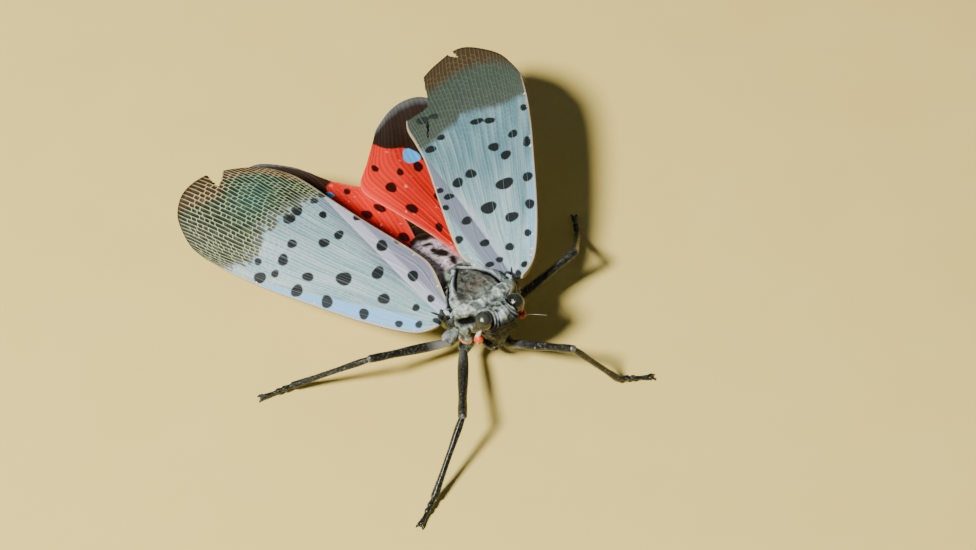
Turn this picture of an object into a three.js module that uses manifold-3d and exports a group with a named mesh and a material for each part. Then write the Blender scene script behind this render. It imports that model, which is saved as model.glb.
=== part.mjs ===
import * as THREE from 'three';
import { mergeVertices } from 'three/addons/utils/BufferGeometryUtils.js';
import Module from 'manifold-3d';

// Spotted lanternfly, life size, standing with its four wings spread and its
// abdomen lowered between its legs. Millimetres, +Z up, head towards -Y.
// The insect's right side is -X and its left side +X. Every piece is worked
// out round a point on the floor under the middle of the forewing roots, and
// the whole insect is then moved so that the middle of its box is the origin.

const ORIGIN_X = -0.532;
const ORIGIN_Y = 4.74;

const GAP = 0.3;
const FOREWING_LENGTH = 21.5;
const WING_THICKNESS = 0.5;
const LEAST_FACE = 0.008;
const VEIN_HEIGHT = 0.13;
const VEIN_WIDTH = 0.34;
const THORAX_HALF_WIDTH = 2.7;
const THORAX_TOP = 7.1;
const THORAX_BOTTOM = 2.7;
const EYE_RADIUS = 0.7;
const EYE_CENTRE = [1.4, -2.42, 6.66];
const FEELER_CENTRE = [1.92, -2.5, 5.05];
const FEELER_BULB_RADIUS = 0.36;
const FEMUR_RADIUS = 0.36;
const TIBIA_RADIUS = 0.29;
const TARSUS_RADIUS = 0.26;
const KNEE_SPACE = 0.62;
const ABDOMEN_RINGS = 8;

const wasm = await Module();
wasm.setup();

const insect = new THREE.Group();
insect.position.set(-ORIGIN_X, -ORIGIN_Y, 0);

const material = (color, roughness) => new THREE.MeshStandardMaterial({ color, roughness, metalness: 0 });
const waxyShell = material(0x9aa39b, 0.6);
const darkShell = material(0x34332f, 0.5);
const wingGrey = material(0xa9b4ba, 0.55);
const wingRed = material(0xd0342a, 0.55);
const eyeGrey = material(0x77807a, 0.3);
const feelerOrange = material(0xe2502c, 0.45);
const bellyYellow = material(0xb9a15a, 0.55);

const radians = (degrees) => degrees * Math.PI / 180;
const blend = (a, b, t) => a + (b - a) * t;
const point = (list) => new THREE.Vector3(list[0], list[1], list[2]);

// A closed surface from its corners and faces, turned inside in if need be.
function closed(corners, faces) {
  let volume = 0;
  for (const [a, b, c] of faces) {
    volume += corners[a].dot(corners[b].clone().cross(corners[c]));
  }
  const order = volume > 0 ? faces : faces.map(([a, b, c]) => [a, c, b]);
  const geometry = new THREE.BufferGeometry();
  const places = corners.flatMap((corner) => corner.toArray());
  geometry.setAttribute('position', new THREE.Float32BufferAttribute(places, 3));
  geometry.setIndex(order.flat());
  return geometry;
}

// Rings of equal count joined one after another, with a fan over each end.
function loft(rings) {
  const sides = rings[0].length;
  const corners = rings.flat();
  const faces = [];
  for (let i = 0; i + 1 < rings.length; i += 1) {
    for (let j = 0; j < sides; j += 1) {
      const k = (j + 1) % sides;
      const a = i * sides + j;
      const b = i * sides + k;
      faces.push([a, b, b + sides], [a, b + sides, a + sides]);
    }
  }
  for (const [start, turned] of [[0, false], [(rings.length - 1) * sides, true]]) {
    const middle = new THREE.Vector3();
    for (let j = 0; j < sides; j += 1) {
      middle.addScaledVector(corners[start + j], 1 / sides);
    }
    const centre = corners.length;
    corners.push(middle);
    for (let j = 0; j < sides; j += 1) {
      const k = (j + 1) % sides;
      faces.push(turned ? [centre, start + j, start + k] : [centre, start + k, start + j]);
    }
  }
  return closed(corners, faces);
}

// A body section by section along Y. Each section is a rounded outline with
// its place, half width, lowest and highest point; the warp moves its points.
function trunk(sections, sides = 20, squareness = 2.3, warp = null) {
  const power = 2 / squareness;
  const rings = sections.map(([y, halfWidth, low, high]) => {
    const ring = [];
    for (let j = 0; j < sides; j += 1) {
      const angle = 2 * Math.PI * (j + 0.5) / sides;
      const across = Math.cos(angle);
      const up = Math.sin(angle);
      const x = halfWidth * Math.sign(across) * Math.abs(across) ** power;
      const z = blend(low, high, 0.5 + 0.5 * Math.sign(up) * Math.abs(up) ** power);
      const corner = new THREE.Vector3(x, y, z);
      if (warp) {
        warp(corner);
      }
      ring.push(corner);
    }
    return ring;
  });
  return loft(rings);
}

// A limb of changing thickness through points given as x, y, z, radius. Its
// underside is levelled where it would pass below the floor.
function limb(stations, sides = 8) {
  const points = stations.map(point);
  const rings = stations.map((station, i) => {
    const before = points[Math.max(i - 1, 0)];
    const after = points[Math.min(i + 1, points.length - 1)];
    const along = after.clone().sub(before).normalize();
    const across = new THREE.Vector3(0, 0, 1).cross(along);
    if (across.length() < 0.05) {
      across.set(1, 0, 0);
    }
    across.normalize();
    const up = along.clone().cross(across).normalize();
    const ring = [];
    for (let j = 0; j < sides; j += 1) {
      const angle = 2 * Math.PI * (j + 0.5) / sides;
      const corner = points[i].clone();
      corner.addScaledVector(across, station[3] * Math.cos(angle));
      corner.addScaledVector(up, station[3] * Math.sin(angle));
      corner.z = Math.max(corner.z, 0);
      ring.push(corner);
    }
    return ring;
  });
  return loft(rings);
}

// A round ball stretched along its three axes.
function ball(centre, radii, across = 14, up = 10) {
  const geometry = new THREE.SphereGeometry(1, across, up);
  geometry.scale(radii[0], radii[1], radii[2]);
  geometry.translate(centre[0], centre[1], centre[2]);
  return geometry;
}

// A thin plate over a grid: place gives the middle point of the plate at
// (i, j), the direction out of its upper face and its half thickness there.
function plate(rows, columns, place) {
  const corners = [];
  for (const side of [1, -1]) {
    for (let i = 0; i < rows; i += 1) {
      for (let j = 0; j < columns; j += 1) {
        const { middle, out, half } = place(i, j);
        corners.push(middle.clone().addScaledVector(out, side * half));
      }
    }
  }
  const under = rows * columns;
  const faces = [];
  for (let i = 0; i + 1 < rows; i += 1) {
    for (let j = 0; j + 1 < columns; j += 1) {
      const a = i * columns + j;
      const b = a + 1;
      const c = a + columns;
      const d = c + 1;
      faces.push([a, b, d], [a, d, c]);
      faces.push([under + a, under + d, under + b], [under + a, under + c, under + d]);
    }
  }
  const rim = [];
  for (let j = 0; j + 1 < columns; j += 1) {
    rim.push([j, j + 1]);
    rim.push([(rows - 1) * columns + j + 1, (rows - 1) * columns + j]);
  }
  for (let i = 0; i + 1 < rows; i += 1) {
    rim.push([(i + 1) * columns, i * columns]);
    rim.push([i * columns + columns - 1, (i + 1) * columns + columns - 1]);
  }
  for (const [a, b] of rim) {
    faces.push([a, under + a, under + b], [a, under + b, b]);
  }
  return closed(corners, faces);
}

// A closed surface as a solid, with corners closer than the tolerance made
// one and the faces that vanish by it left out.
function toSolid(geometry, tolerance = 1e-4) {
  const bare = geometry.clone();
  bare.deleteAttribute('normal');
  bare.deleteAttribute('uv');
  const merged = mergeVertices(bare, tolerance);
  const corners = merged.index.array;
  const kept = [];
  for (let i = 0; i < corners.length; i += 3) {
    const [a, b, c] = [corners[i], corners[i + 1], corners[i + 2]];
    if (a !== b && b !== c && c !== a) {
      kept.push(a, b, c);
    }
  }
  return new wasm.Manifold(new wasm.Mesh({
    numProp: 3,
    vertProperties: new Float32Array(merged.attributes.position.array),
    triVerts: new Uint32Array(kept),
  }));
}

function toGeometry(solid) {
  const mesh = solid.getMesh();
  const geometry = new THREE.BufferGeometry();
  geometry.setAttribute('position', new THREE.BufferAttribute(new Float32Array(mesh.vertProperties), 3));
  geometry.setIndex(Array.from(mesh.triVerts));
  return geometry;
}

// Joining leaves a few needle thin faces. A face lower than LEAST_FACE gives
// up its shortest side where that is short, and else its longest side is
// turned to join the other two corners.
function withoutSlivers(geometry) {
  const places = geometry.attributes.position;
  const corners = [];
  for (let i = 0; i < places.count; i += 1) {
    corners.push(new THREE.Vector3().fromBufferAttribute(places, i));
  }
  let faces = [];
  for (let i = 0; i < geometry.index.count; i += 3) {
    faces.push([0, 1, 2].map((k) => geometry.index.getX(i + k)));
  }
  const length = (a, b) => corners[a].distanceTo(corners[b]);
  const height = ([a, b, c]) => {
    const longest = Math.max(length(a, b), length(b, c), length(c, a));
    const normal = corners[b].clone().sub(corners[a]).cross(corners[c].clone().sub(corners[a]));
    return normal.length() / longest;
  };
  const settled = new Set();
  for (let round = 0; round < 400; round += 1) {
    const face = faces.find((each) => !settled.has(each) && height(each) < LEAST_FACE);
    if (!face) {
      break;
    }
    const turns = [0, 1, 2].map((k) => [face[k], face[(k + 1) % 3], face[(k + 2) % 3]]);
    turns.sort((one, two) => length(one[0], one[1]) - length(two[0], two[1]));
    const [near, far] = turns[0];
    const round1 = new Set(faces.filter((each) => each.includes(near)).flat());
    const round2 = new Set(faces.filter((each) => each.includes(far)).flat());
    const shared = [...round1].filter((each) => round2.has(each)).length;
    if (length(near, far) < 6 * LEAST_FACE && shared === 4) {
      faces = faces.map((each) => (each.includes(far) ? each.map((k) => (k === far ? near : k)) : each));
      faces = faces.filter(([a, b, c]) => a !== b && b !== c && c !== a);
      continue;
    }
    const [from, to, apex] = turns[2];
    const other = faces.find((each) => each !== face && each.includes(from) && each.includes(to));
    const opposite = other.find((each) => each !== from && each !== to);
    const joined = faces.some((each) => each.includes(apex) && each.includes(opposite));
    const turned = [[from, opposite, apex], [opposite, to, apex]];
    const better = Math.min(...turned.map(height)) > Math.min(height(face), height(other));
    if (joined || !better) {
      settled.add(face);
      continue;
    }
    faces.splice(faces.indexOf(face), 1, turned[0]);
    faces.splice(faces.indexOf(other), 1, turned[1]);
  }
  const used = [...new Set(faces.flat())];
  const order = new Map(used.map((corner, i) => [corner, i]));
  return closed(used.map((corner) => corners[corner]), faces.map((face) => face.map((k) => order.get(k))));
}

// Joins the first shapes, cuts the second ones away and keeps the largest
// piece, which is the only one that is meant to be there.
function shape(joined, cut = []) {
  let solid = toSolid(joined[0]);
  for (const other of joined.slice(1)) {
    solid = solid.add(toSolid(other));
  }
  for (const other of cut) {
    solid = solid.subtract(toSolid(other));
  }
  const pieces = solid.decompose();
  let largest = pieces[0];
  for (const piece of pieces) {
    if (piece.volume() > largest.volume()) {
      largest = piece;
    }
  }
  return withoutSlivers(toGeometry(largest));
}

function add(name, geometry, finish) {
  const piece = new THREE.Mesh(geometry, finish);
  piece.name = name;
  insect.add(piece);
}

// Each wing lies in its own plane: a runs from the root to the tip and c
// from the front edge back. The front edge, the outer edge and the rear edge
// are smooth curves through a few points of the species' outline.
const forewingFront = [[0, -0.62], [1.5, -1.75], [5.4, -2.36], [11.5, -2.57], [15.1, -2.48], [17.66, -2.1]];
const forewingOutlineRight = {
  front: forewingFront,
  outer: [
    [17.66, -2.1], [19.08, -1.62], [20.2, -0.8], [21.08, 0.21], [21.49, 1.6], [21.28, 2.85],
    [20.6, 4.1], [19.6, 5.0], [18.37, 5.85], [17.3, 6.4], [16.4, 6.6],
  ],
  rear: [[0, 1.05], [2.2, 3.38], [4.01, 4.14], [7.72, 4.92], [11.2, 5.8], [13.4, 6.42], [14.93, 6.7], [16.4, 6.6]],
};
// The left forewing has worn away behind its tip, past a flap of its rear edge.
const forewingOutlineLeft = {
  front: forewingFront,
  outer: [
    [17.66, -2.1], [19.1, -1.35], [20.3, -0.45], [21.35, 1.1], [21.72, 2.3], [21.5, 3.2],
    [20.88, 4.04], [20.08, 4.86], [19.04, 5.64],
  ],
  rear: [
    [0, 1.05], [2.2, 3.38], [4.01, 4.14], [7.72, 4.92], [11.2, 5.65], [12.96, 6.25], [14.2, 6.75],
    [15.2, 6.6], [15.9, 5.9], [16.9, 5.35], [18.1, 5.35], [19.04, 5.64],
  ],
};
// The left hindwing is spread a little wider than the right one, which lies
// under it where they cross.
const hindwingOutlineRight = {
  front: [[0, -0.45], [3, -1.25], [8, -1.7], [13, -1.5], [15.9, -0.7]],
  outer: [[15.9, -0.7], [17.4, 0.9], [17.2, 3.1], [15.1, 4.7], [12.2, 5.45], [9.3, 6.45]],
  rear: [[0.15, 0.55], [1.7, 2.6], [3.1, 4.14], [5.3, 5.8], [7.9, 7.2], [9.3, 6.45]],
};
const hindwingOutlineLeft = {
  front: [[0, -0.45], [3, -1.25], [8, -1.7], [13, -1.5], [16.2, -0.7]],
  outer: [[16.2, -0.7], [17.8, 1.3], [17.45, 3.05], [16.3, 4.45], [14.0, 6.0], [12.4, 6.4]],
  rear: [[0.15, 0.55], [2, 1.96], [3.74, 3.57], [5.82, 5.88], [7.96, 8.05], [10.4, 7.3], [12.4, 6.4]],
};

// The place on the wing at s along it and t across it, both from 0 to 1.
function wingPlan(outline) {
  const curve = {};
  for (const [edge, list] of Object.entries(outline)) {
    curve[edge] = new THREE.SplineCurve(list.map(([a, c]) => new THREE.Vector2(a, c)));
  }
  const rootFront = curve.front.getPoint(0);
  const rootRear = curve.rear.getPoint(0);
  const outerFront = curve.outer.getPoint(0);
  const outerRear = curve.outer.getPoint(1);
  return (s, t) => {
    const front = curve.front.getPointAt(s);
    const rear = curve.rear.getPointAt(s);
    const outer = curve.outer.getPointAt(t);
    const root = rootFront.clone().lerp(rootRear, t);
    const place = front.multiplyScalar(1 - t).addScaledVector(rear, t);
    place.addScaledVector(root, 1 - s).addScaledVector(outer, s);
    place.addScaledVector(rootFront, -(1 - s) * (1 - t));
    place.addScaledVector(rootRear, -(1 - s) * t);
    place.addScaledVector(outerFront, -s * (1 - t));
    place.addScaledVector(outerRear, -s * t);
    return place;
  };
}

// How each wing is held. Heading is measured from +X towards +Y, rise is the
// climb to the tip, and roll lifts the rear edge. side is -1 on the right.
// arch bends the wing along its length and camber across it.
const forewingRight = {
  root: [-3.14, 0.11, 5.67], heading: 121.8, rise: 8.3, roll: 20.8, side: -1, arch: -0.08, camber: -0.23,
};
const forewingLeft = {
  root: [3.14, -0.11, 5.7], heading: 59.7, rise: 13.7, roll: -18.3, side: 1, arch: -0.14, camber: 0.1,
};
const hindwingRight = {
  root: [-2.62, 2.95, 4.0], heading: 111, rise: 2.9, roll: -1.5, side: -1, arch: 0.1, camber: 0,
};
const hindwingLeft = {
  root: [2.62, 2.75, 3.95], heading: 62.5, rise: 5.2, roll: 12, side: 1, arch: -0.1, camber: 0,
};

// Puts a place of the wing's plane into the insect, with its upper face's
// direction.
function held(pose) {
  const heading = radians(pose.heading);
  const rise = radians(pose.rise);
  const roll = radians(pose.roll);
  const along = new THREE.Vector3(
    Math.cos(rise) * Math.cos(heading),
    Math.cos(rise) * Math.sin(heading),
    Math.sin(rise),
  );
  const level = new THREE.Vector3(-Math.sin(heading), Math.cos(heading), 0).multiplyScalar(pose.side);
  const up = along.clone().cross(level).multiplyScalar(pose.side);
  const back = level.clone().multiplyScalar(Math.cos(roll)).addScaledVector(up, Math.sin(roll));
  const out = along.clone().cross(back).multiplyScalar(pose.side).normalize();
  return (a, c) => {
    const middle = point(pose.root);
    middle.addScaledVector(along, a).addScaledVector(back, c);
    middle.addScaledVector(out, pose.arch * a * a / 21.5 + pose.camber * c * c / 5);
    return { middle, out };
  };
}

// The main veins stand out of both faces as low ridges. Each vein takes
// three lines of the grid, its two feet and its crest.
const forewingVeins = [0.1, 0.23, 0.36, 0.48, 0.6, 0.72, 0.84];
const hindwingVeins = [0.12, 0.28, 0.44, 0.6, 0.76, 0.9];

// Both forewings have lost pieces of their outer edge: at, the place on
// that edge, width and depth give each notch.
const tearsRight = [{ at: 0.66, width: 0.06, depth: 0.06 }];
const tearsLeft = [{ at: 0.66, width: 0.05, depth: 0.045 }];
// Lines between the veins give those notches their shape.
const forewingFlats = [0.54, 0.66, 0.78, 0.92];

function wing(outline, pose, veins, steps, { flats = [], tears = [], fat = 0 } = {}) {
  const plan = wingPlan(outline);
  const hold = held(pose);
  const lines = [[0, 0]];
  for (const vein of veins) {
    lines.push([vein, -1], [vein, 0], [vein, 1]);
  }
  lines.push([1, 0]);
  for (const flat of flats) {
    lines.splice(lines.findIndex(([t]) => t > flat), 0, [flat, 2]);
  }
  const columns = fat ? veins.length + 2 : lines.length;
  return plate(steps + 1, columns, (i, j) => {
    const s = i / steps;
    const [vein, foot] = fat ? [j / (columns - 1), 0] : lines[j];
    const spread = blend(0.6, FOREWING_LENGTH / 2.6, Math.sqrt(s));
    const t = vein + (foot === 2 ? 0 : foot * VEIN_WIDTH / 2 / Math.max(spread, 4.2));
    let reach = s;
    for (const tear of tears) {
      const near = Math.max(0, 1 - Math.abs(t - tear.at) / tear.width);
      reach -= tear.depth * near * THREE.MathUtils.smoothstep(s, 0.7, 1);
    }
    const place = plan(reach, t);
    if (fat) {
      place.x += fat * (s < 0.001 ? -1 : (s > 0.999 ? 1 : 0));
      place.y += fat * (j === 0 ? -1 : (j === columns - 1 ? 1 : 0));
    }
    const { middle, out } = hold(place.x, place.y);
    const crest = j > 0 && j < columns - 1 && foot === 0 ? VEIN_HEIGHT * (1 - 0.6 * s) : 0;
    const hinge = 0.22 * (1 - THREE.MathUtils.smoothstep(s, 0, 0.16));
    const half = WING_THICKNESS / 2 + hinge + (fat ? VEIN_HEIGHT + fat : crest);
    return { middle, out, half };
  });
}

add('forewing_right', wing(forewingOutlineRight, forewingRight, forewingVeins, 20,
  { flats: forewingFlats, tears: tearsRight }), wingGrey);
add('forewing_left', wing(forewingOutlineLeft, forewingLeft, forewingVeins, 20,
  { flats: forewingFlats, tears: tearsLeft }), wingGrey);
add('hindwing_right', wing(hindwingOutlineRight, hindwingRight, hindwingVeins, 14), wingRed);
add('hindwing_left', wing(hindwingOutlineLeft, hindwingLeft, hindwingVeins, 14), wingRed);

// The room that the wings need, so that the body keeps clear of them.
const coarse = [0.2, 0.4, 0.6, 0.8];
const foreRoom = [
  wing(forewingOutlineRight, forewingRight, coarse, 12, { fat: GAP }),
  wing(forewingOutlineLeft, forewingLeft, coarse, 12, { fat: GAP }),
];
const hindRoom = [
  wing(hindwingOutlineRight, hindwingRight, coarse, 10, { fat: GAP }),
  wing(hindwingOutlineLeft, hindwingLeft, coarse, 10, { fat: GAP }),
];

// The collar and the back shield are both drawn forward in the middle.
function drawnForward(corner) {
  const part = 1 - Math.min(1, (corner.x / THORAX_HALF_WIDTH) ** 2);
  corner.y -= 0.7 * part * THREE.MathUtils.smoothstep(corner.z, 3.2, 5.8);
}

const sides = [['right', -1], ['left', 1]];
const mirrored = (list, side) => [list[0] * side, ...list.slice(1)];

const headShell = trunk([
  [-3.36, 0.5, 5.85, 6.45],
  [-3.2, 0.92, 5.3, 6.76],
  [-2.95, 1.12, 4.8, 6.97],
  [-2.55, 1.26, 4.2, 7.1],
  [-2.2, 1.3, 3.9, 7.14],
  [-1.98, 1.26, 3.95, 7.1],
], 16, 2.4);
const clypeus = limb([
  [0, -2.57, 5.5, 0.58], [0, -2.55, 4.7, 0.58], [0, -2.46, 3.95, 0.48], [0, -2.34, 3.3, 0.38], [0, -2.22, 2.85, 0.28],
], 10);
const faceKeel = limb([
  [0, -3.05, 6.88, 0.16], [0, -3.32, 6.3, 0.16], [0, -3.2, 5.5, 0.15], [0, -2.98, 4.5, 0.13],
], 6);
const cheekKeels = sides.map(([, side]) => limb([
  [0.66 * side, -2.85, 6.97, 0.15], [0.78 * side, -3.2, 6.15, 0.15], [0.62 * side, -3.0, 5.0, 0.13],
], 6));
const headForms = [headShell, clypeus, faceKeel, ...cheekKeels];
const eyeRoom = sides.map(([, side]) => ball(mirrored(EYE_CENTRE, side),
  [EYE_RADIUS + GAP, EYE_RADIUS + GAP, EYE_RADIUS + GAP], 12, 8));
add('head', shape(headForms, eyeRoom), waxyShell);

for (const [name, side] of sides) {
  const radii = [EYE_RADIUS * 0.95, EYE_RADIUS, EYE_RADIUS];
  add(`eye_${name}`, shape([ball(mirrored(EYE_CENTRE, side), radii, 14, 10)]), eyeGrey);
  const [x, y, z] = mirrored(FEELER_CENTRE, side);
  const bulb = ball([x, y, z], [0.34, 0.34, FEELER_BULB_RADIUS], 10, 8);
  const bristle = limb([
    [x, y, z, 0.26], [x + 0.35 * side, y - 0.3, z + 0.03, 0.25],
    [x + 0.7 * side, y - 0.65, z + 0.03, 0.2], [x + 1.1 * side, y - 1.05, z - 0.05, 0.1],
  ], 6);
  add(`antenna_${name}`, shape([bulb, bristle]), feelerOrange);
}

// The beak is folded back under the body between the leg bases.
add('rostrum', limb([
  [0, -2.0, 2.2, 0.24], [0, -1.75, 1.9, 0.26], [0, -1.25, 1.65, 0.26], [0, 0.6, 1.45, 0.26],
  [0, 2.6, 1.3, 0.25], [0, 3.3, 1.28, 0.18],
], 8), darkShell);

const collar = trunk([
  [-1.0, 2.3, 4.5, 6.95],
  [-0.9, 2.62, 4.2, 7.2],
  [-0.55, 2.74, 4.0, 7.28],
  [-0.28, 2.7, 4.0, 7.2],
], 24, 2.5, drawnForward);
const neck = trunk([
  [-1.62, 1.0, 4.0, 5.4], [-1.2, 1.5, 3.5, 5.8], [-0.5, 2.1, 3.2, 6.0], [-0.28, 2.1, 3.2, 6.0],
], 16, 2.3);
add('pronotum', shape([collar, neck], [...foreRoom, ...eyeRoom]), waxyShell);

const flank = trunk([
  [0.02, 2.3, 3.0, 6.3],
  [0.3, THORAX_HALF_WIDTH - 0.1, THORAX_BOTTOM, 6.5],
  [1.2, THORAX_HALF_WIDTH, THORAX_BOTTOM - 0.1, 6.4],
  [2.0, THORAX_HALF_WIDTH - 0.1, THORAX_BOTTOM - 0.05, 6.0],
  [2.3, THORAX_HALF_WIDTH - 0.35, THORAX_BOTTOM + 0.1, 5.6],
], 20, 2.6);
const backShield = trunk([
  [0.02, 2.25, 5.4, THORAX_TOP - 0.1],
  [0.35, 2.4, 5.3, THORAX_TOP],
  [1.2, 2.25, 5.3, THORAX_TOP + 0.02],
  [2.1, 1.6, 5.4, THORAX_TOP - 0.12],
  [2.8, 0.95, 5.75, THORAX_TOP - 0.35],
  [3.35, 0.42, 5.95, THORAX_TOP - 0.62],
  [3.62, 0.25, 6.05, THORAX_TOP - 0.8],
], 20, 2.5, drawnForward);
const shieldKeels = [-1, 0, 1].map((side) => limb([
  [0.85 * side, -0.35 + 0.1 * Math.abs(side), THORAX_TOP - 0.13, 0.15],
  [0.8 * side, 0.8, THORAX_TOP - 0.06, 0.15],
  [0.55 * side, 2.0, THORAX_TOP - 0.22, 0.14],
  [0.12 * side, 2.9, THORAX_TOP - 0.5, 0.12],
], 6));
const wingSockets = sides.map(([, side]) => ball([2.45 * side, -0.02, 5.75], [0.5, 0.62, 0.5], 12, 8));
const thoraxForms = [flank, backShield, ...shieldKeels, ...wingSockets];
add('mesothorax', shape(thoraxForms, [...foreRoom, ...hindRoom,
  trunk([[-2.5, 4, 0, 9], [-0.28 + GAP, 4, 0, 9]], 24, 6, drawnForward)]), waxyShell);

const metathorax = trunk([
  [2.62, 2.1, 2.7, 5.5],
  [2.9, 2.3, 2.5, 5.6],
  [3.4, 2.35, 2.4, 5.6],
  [3.7, 2.2, 2.4, 5.5],
], 20, 2.4);
add('metathorax', shape([metathorax], [...foreRoom, ...hindRoom]), waxyShell);

// The abdomen narrows to its tip and sinks towards the floor. Each ring of
// it is a little wider at its rear edge, where it overlaps the next.
function abdomenSection(y) {
  const t = (y - 4.0) / 9.4;
  const halfWidth = 2.65 * Math.sqrt(Math.max(0.03, 1 - (Math.abs(t - 0.27) / 0.74) ** 2.6));
  const middle = blend(3.6, 1.75, t ** 0.8);
  const halfHeight = 0.62 * halfWidth + 0.05;
  return [y, halfWidth, Math.max(middle - halfHeight, 0.5), middle + halfHeight];
}
const abdomenSections = [];
for (let i = 0; i < ABDOMEN_RINGS; i += 1) {
  const start = 4.0 + 9.3 * i / ABDOMEN_RINGS;
  const end = 4.0 + 9.3 * (i + 1) / ABDOMEN_RINGS;
  const [, width, low, high] = abdomenSection(start);
  const [, rearWidth, rearLow, rearHigh] = abdomenSection(end - 0.1);
  abdomenSections.push([start, width * 0.955, low + 0.07, high - 0.07]);
  abdomenSections.push([end - 0.12, rearWidth, rearLow, rearHigh]);
}
const tailPieces = sides.map(([, side]) => limb([
  [0.25 * side, 12.6, 1.75, 0.34], [0.27 * side, 13.4, 1.65, 0.3], [0.22 * side, 13.9, 1.6, 0.2],
], 8));
add('abdomen', shape([trunk(abdomenSections, 20, 2.2), ...tailPieces], [...foreRoom, ...hindRoom]), bellyYellow);

// Each leg from its base on the body: hip, the small joint after it, knee,
// ankle and toe. The toe rests on the floor.
const legs = {
  fore_right: { hip: [-1.3, -0.45, 2.6], turn: [-2.15, -0.95, 2.4], knee: [-6.44, -6.62, 3.85],
    ankle: [-10.75, -9.1, 0.62], toe: [-12.86, -10.25, 0.12] },
  fore_left: { hip: [0.85, -0.8, 2.3], turn: [1.12, -2.15, 1.95], knee: [2.92, -7.2, 5.0],
    ankle: [6.05, -8.6, 0.62], toe: [8.4, -9.75, 0.12] },
  mid_right: { hip: [-1.6, 0.9, 2.05], turn: [-2.45, 0.5, 2.05], knee: [-8.64, 1.46, 3.9],
    ankle: [-13.0, 5.0, 0.62], toe: [-15.43, 5.77, 0.12] },
  mid_left: { hip: [1.6, 0.9, 2.05], turn: [2.45, 0.5, 2.05], knee: [9.0, 0.3, 4.35],
    ankle: [12.2, 3.9, 0.62], toe: [13.4, 5.9, 0.12] },
  hind_right: { hip: [-1.3, 2.85, 1.7], turn: [-2.0, 3.2, 1.7], knee: [-5.3, 8.3, 3.1],
    ankle: [-7.5, 14.6, 0.62], toe: [-8.3, 16.9, 0.12] },
  hind_left: { hip: [1.3, 2.85, 1.7], turn: [2.0, 3.2, 1.7], knee: [5.3, 8.3, 3.1],
    ankle: [7.5, 14.6, 0.62], toe: [8.3, 16.9, 0.12] },
};

// Points between two ends, pulled back from each by a gap, with the limb's
// thickness at each.
function between(start, end, near, far, radii) {
  const from = point(start);
  const to = point(end);
  const way = to.clone().sub(from).normalize();
  from.addScaledVector(way, near);
  to.addScaledVector(way, -far);
  return radii.map((radius, i) => {
    const place = from.clone().lerp(to, i / (radii.length - 1));
    return [place.x, place.y, place.z, radius];
  });
}

for (const [name, leg] of Object.entries(legs)) {
  const hip = limb([[...leg.hip, 0.5], [...leg.turn, 0.42]], 7);
  const joint = ball(leg.turn, [0.43, 0.43, 0.43], 8, 6);
  const thigh = limb([
    ...between(leg.turn, leg.knee, 0, 0.3, [0.34, FEMUR_RADIUS, FEMUR_RADIUS, 0.31, 0.32]),
    ...between(leg.turn, leg.knee, 0, 0.02, [0.2, 0.2]).slice(1),
  ], 8);
  add(`femur_${name}`, shape([hip, joint, thigh], hindRoom), darkShell);

  const shin = limb([
    ...between(leg.knee, leg.ankle, KNEE_SPACE, 0.25, [0.22, TIBIA_RADIUS, 0.26, 0.26, TIBIA_RADIUS, 0.3]),
    ...between(leg.knee, leg.ankle, 0, 0, [0.2, 0.2]).slice(1),
  ], 8);
  const spines = [];
  if (name.startsWith('hind')) {
    const side = Math.sign(leg.knee[0]);
    for (const place of [0.35, 0.5, 0.65, 0.8, 0.95]) {
      const root = point(leg.knee).lerp(point(leg.ankle), place);
      spines.push(limb([
        [root.x, root.y, root.z, 0.2],
        [root.x + 0.4 * side, root.y + 0.18, root.z + 0.06, 0.13],
        [root.x + 0.62 * side, root.y + 0.32, root.z + 0.03, 0.05],
      ], 5));
    }
  }
  add(`tibia_${name}`, shape([shin, ...spines]), darkShell);

  const foot = limb(between(leg.ankle, leg.toe, KNEE_SPACE - 0.1, 0.2, [
    0.24, 0.3, 0.23, TARSUS_RADIUS, 0.24, 0.2,
  ]), 8);
  const way = point(leg.toe).sub(point(leg.ankle)).setZ(0).normalize();
  const across = new THREE.Vector3(-way.y, way.x, 0);
  const claws = [-1, 1].map((side) => {
    const reach = (out, aside, height, radius) => {
      const place = point(leg.toe).addScaledVector(way, out).addScaledVector(across, aside * side);
      return [place.x, place.y, height, radius];
    };
    return limb([
      reach(-0.4, 0.03, 0.22, 0.16), reach(-0.12, 0.14, 0.24, 0.13), reach(0.16, 0.25, 0.09, 0.1),
    ], 5);
  });
  add(`tarsus_${name}`, shape([foot, ...claws]), darkShell);
}

export default insect;
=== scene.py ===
import math

import bpy
import numpy as np
from mathutils import Matrix, Vector


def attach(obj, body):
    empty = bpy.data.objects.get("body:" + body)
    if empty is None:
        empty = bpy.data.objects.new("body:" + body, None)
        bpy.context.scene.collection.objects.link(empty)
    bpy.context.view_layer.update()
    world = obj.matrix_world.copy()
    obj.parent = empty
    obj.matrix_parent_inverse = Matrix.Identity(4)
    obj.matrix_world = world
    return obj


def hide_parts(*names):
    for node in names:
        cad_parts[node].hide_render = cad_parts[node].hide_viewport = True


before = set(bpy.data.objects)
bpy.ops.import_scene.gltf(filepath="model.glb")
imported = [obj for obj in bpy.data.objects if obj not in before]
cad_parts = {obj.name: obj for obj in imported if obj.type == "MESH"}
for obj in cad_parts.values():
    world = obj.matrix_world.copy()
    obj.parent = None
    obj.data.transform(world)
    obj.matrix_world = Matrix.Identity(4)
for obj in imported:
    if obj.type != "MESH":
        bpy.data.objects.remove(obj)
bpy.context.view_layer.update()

# The room
# A plain pale floor under a large soft lamp that stands to the insect's
# right, and a long lens that looks down at the insect from its right front.
MM = 0.001


def hexed(code):
    """An sRGB hex colour as the linear colour that a socket takes."""
    channels = [int(code[i:i + 2], 16) / 255 for i in (1, 3, 5)]
    return [c / 12.92 if c <= 0.04045 else ((c + 0.055) / 1.055) ** 2.4 for c in channels] + [1]


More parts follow.
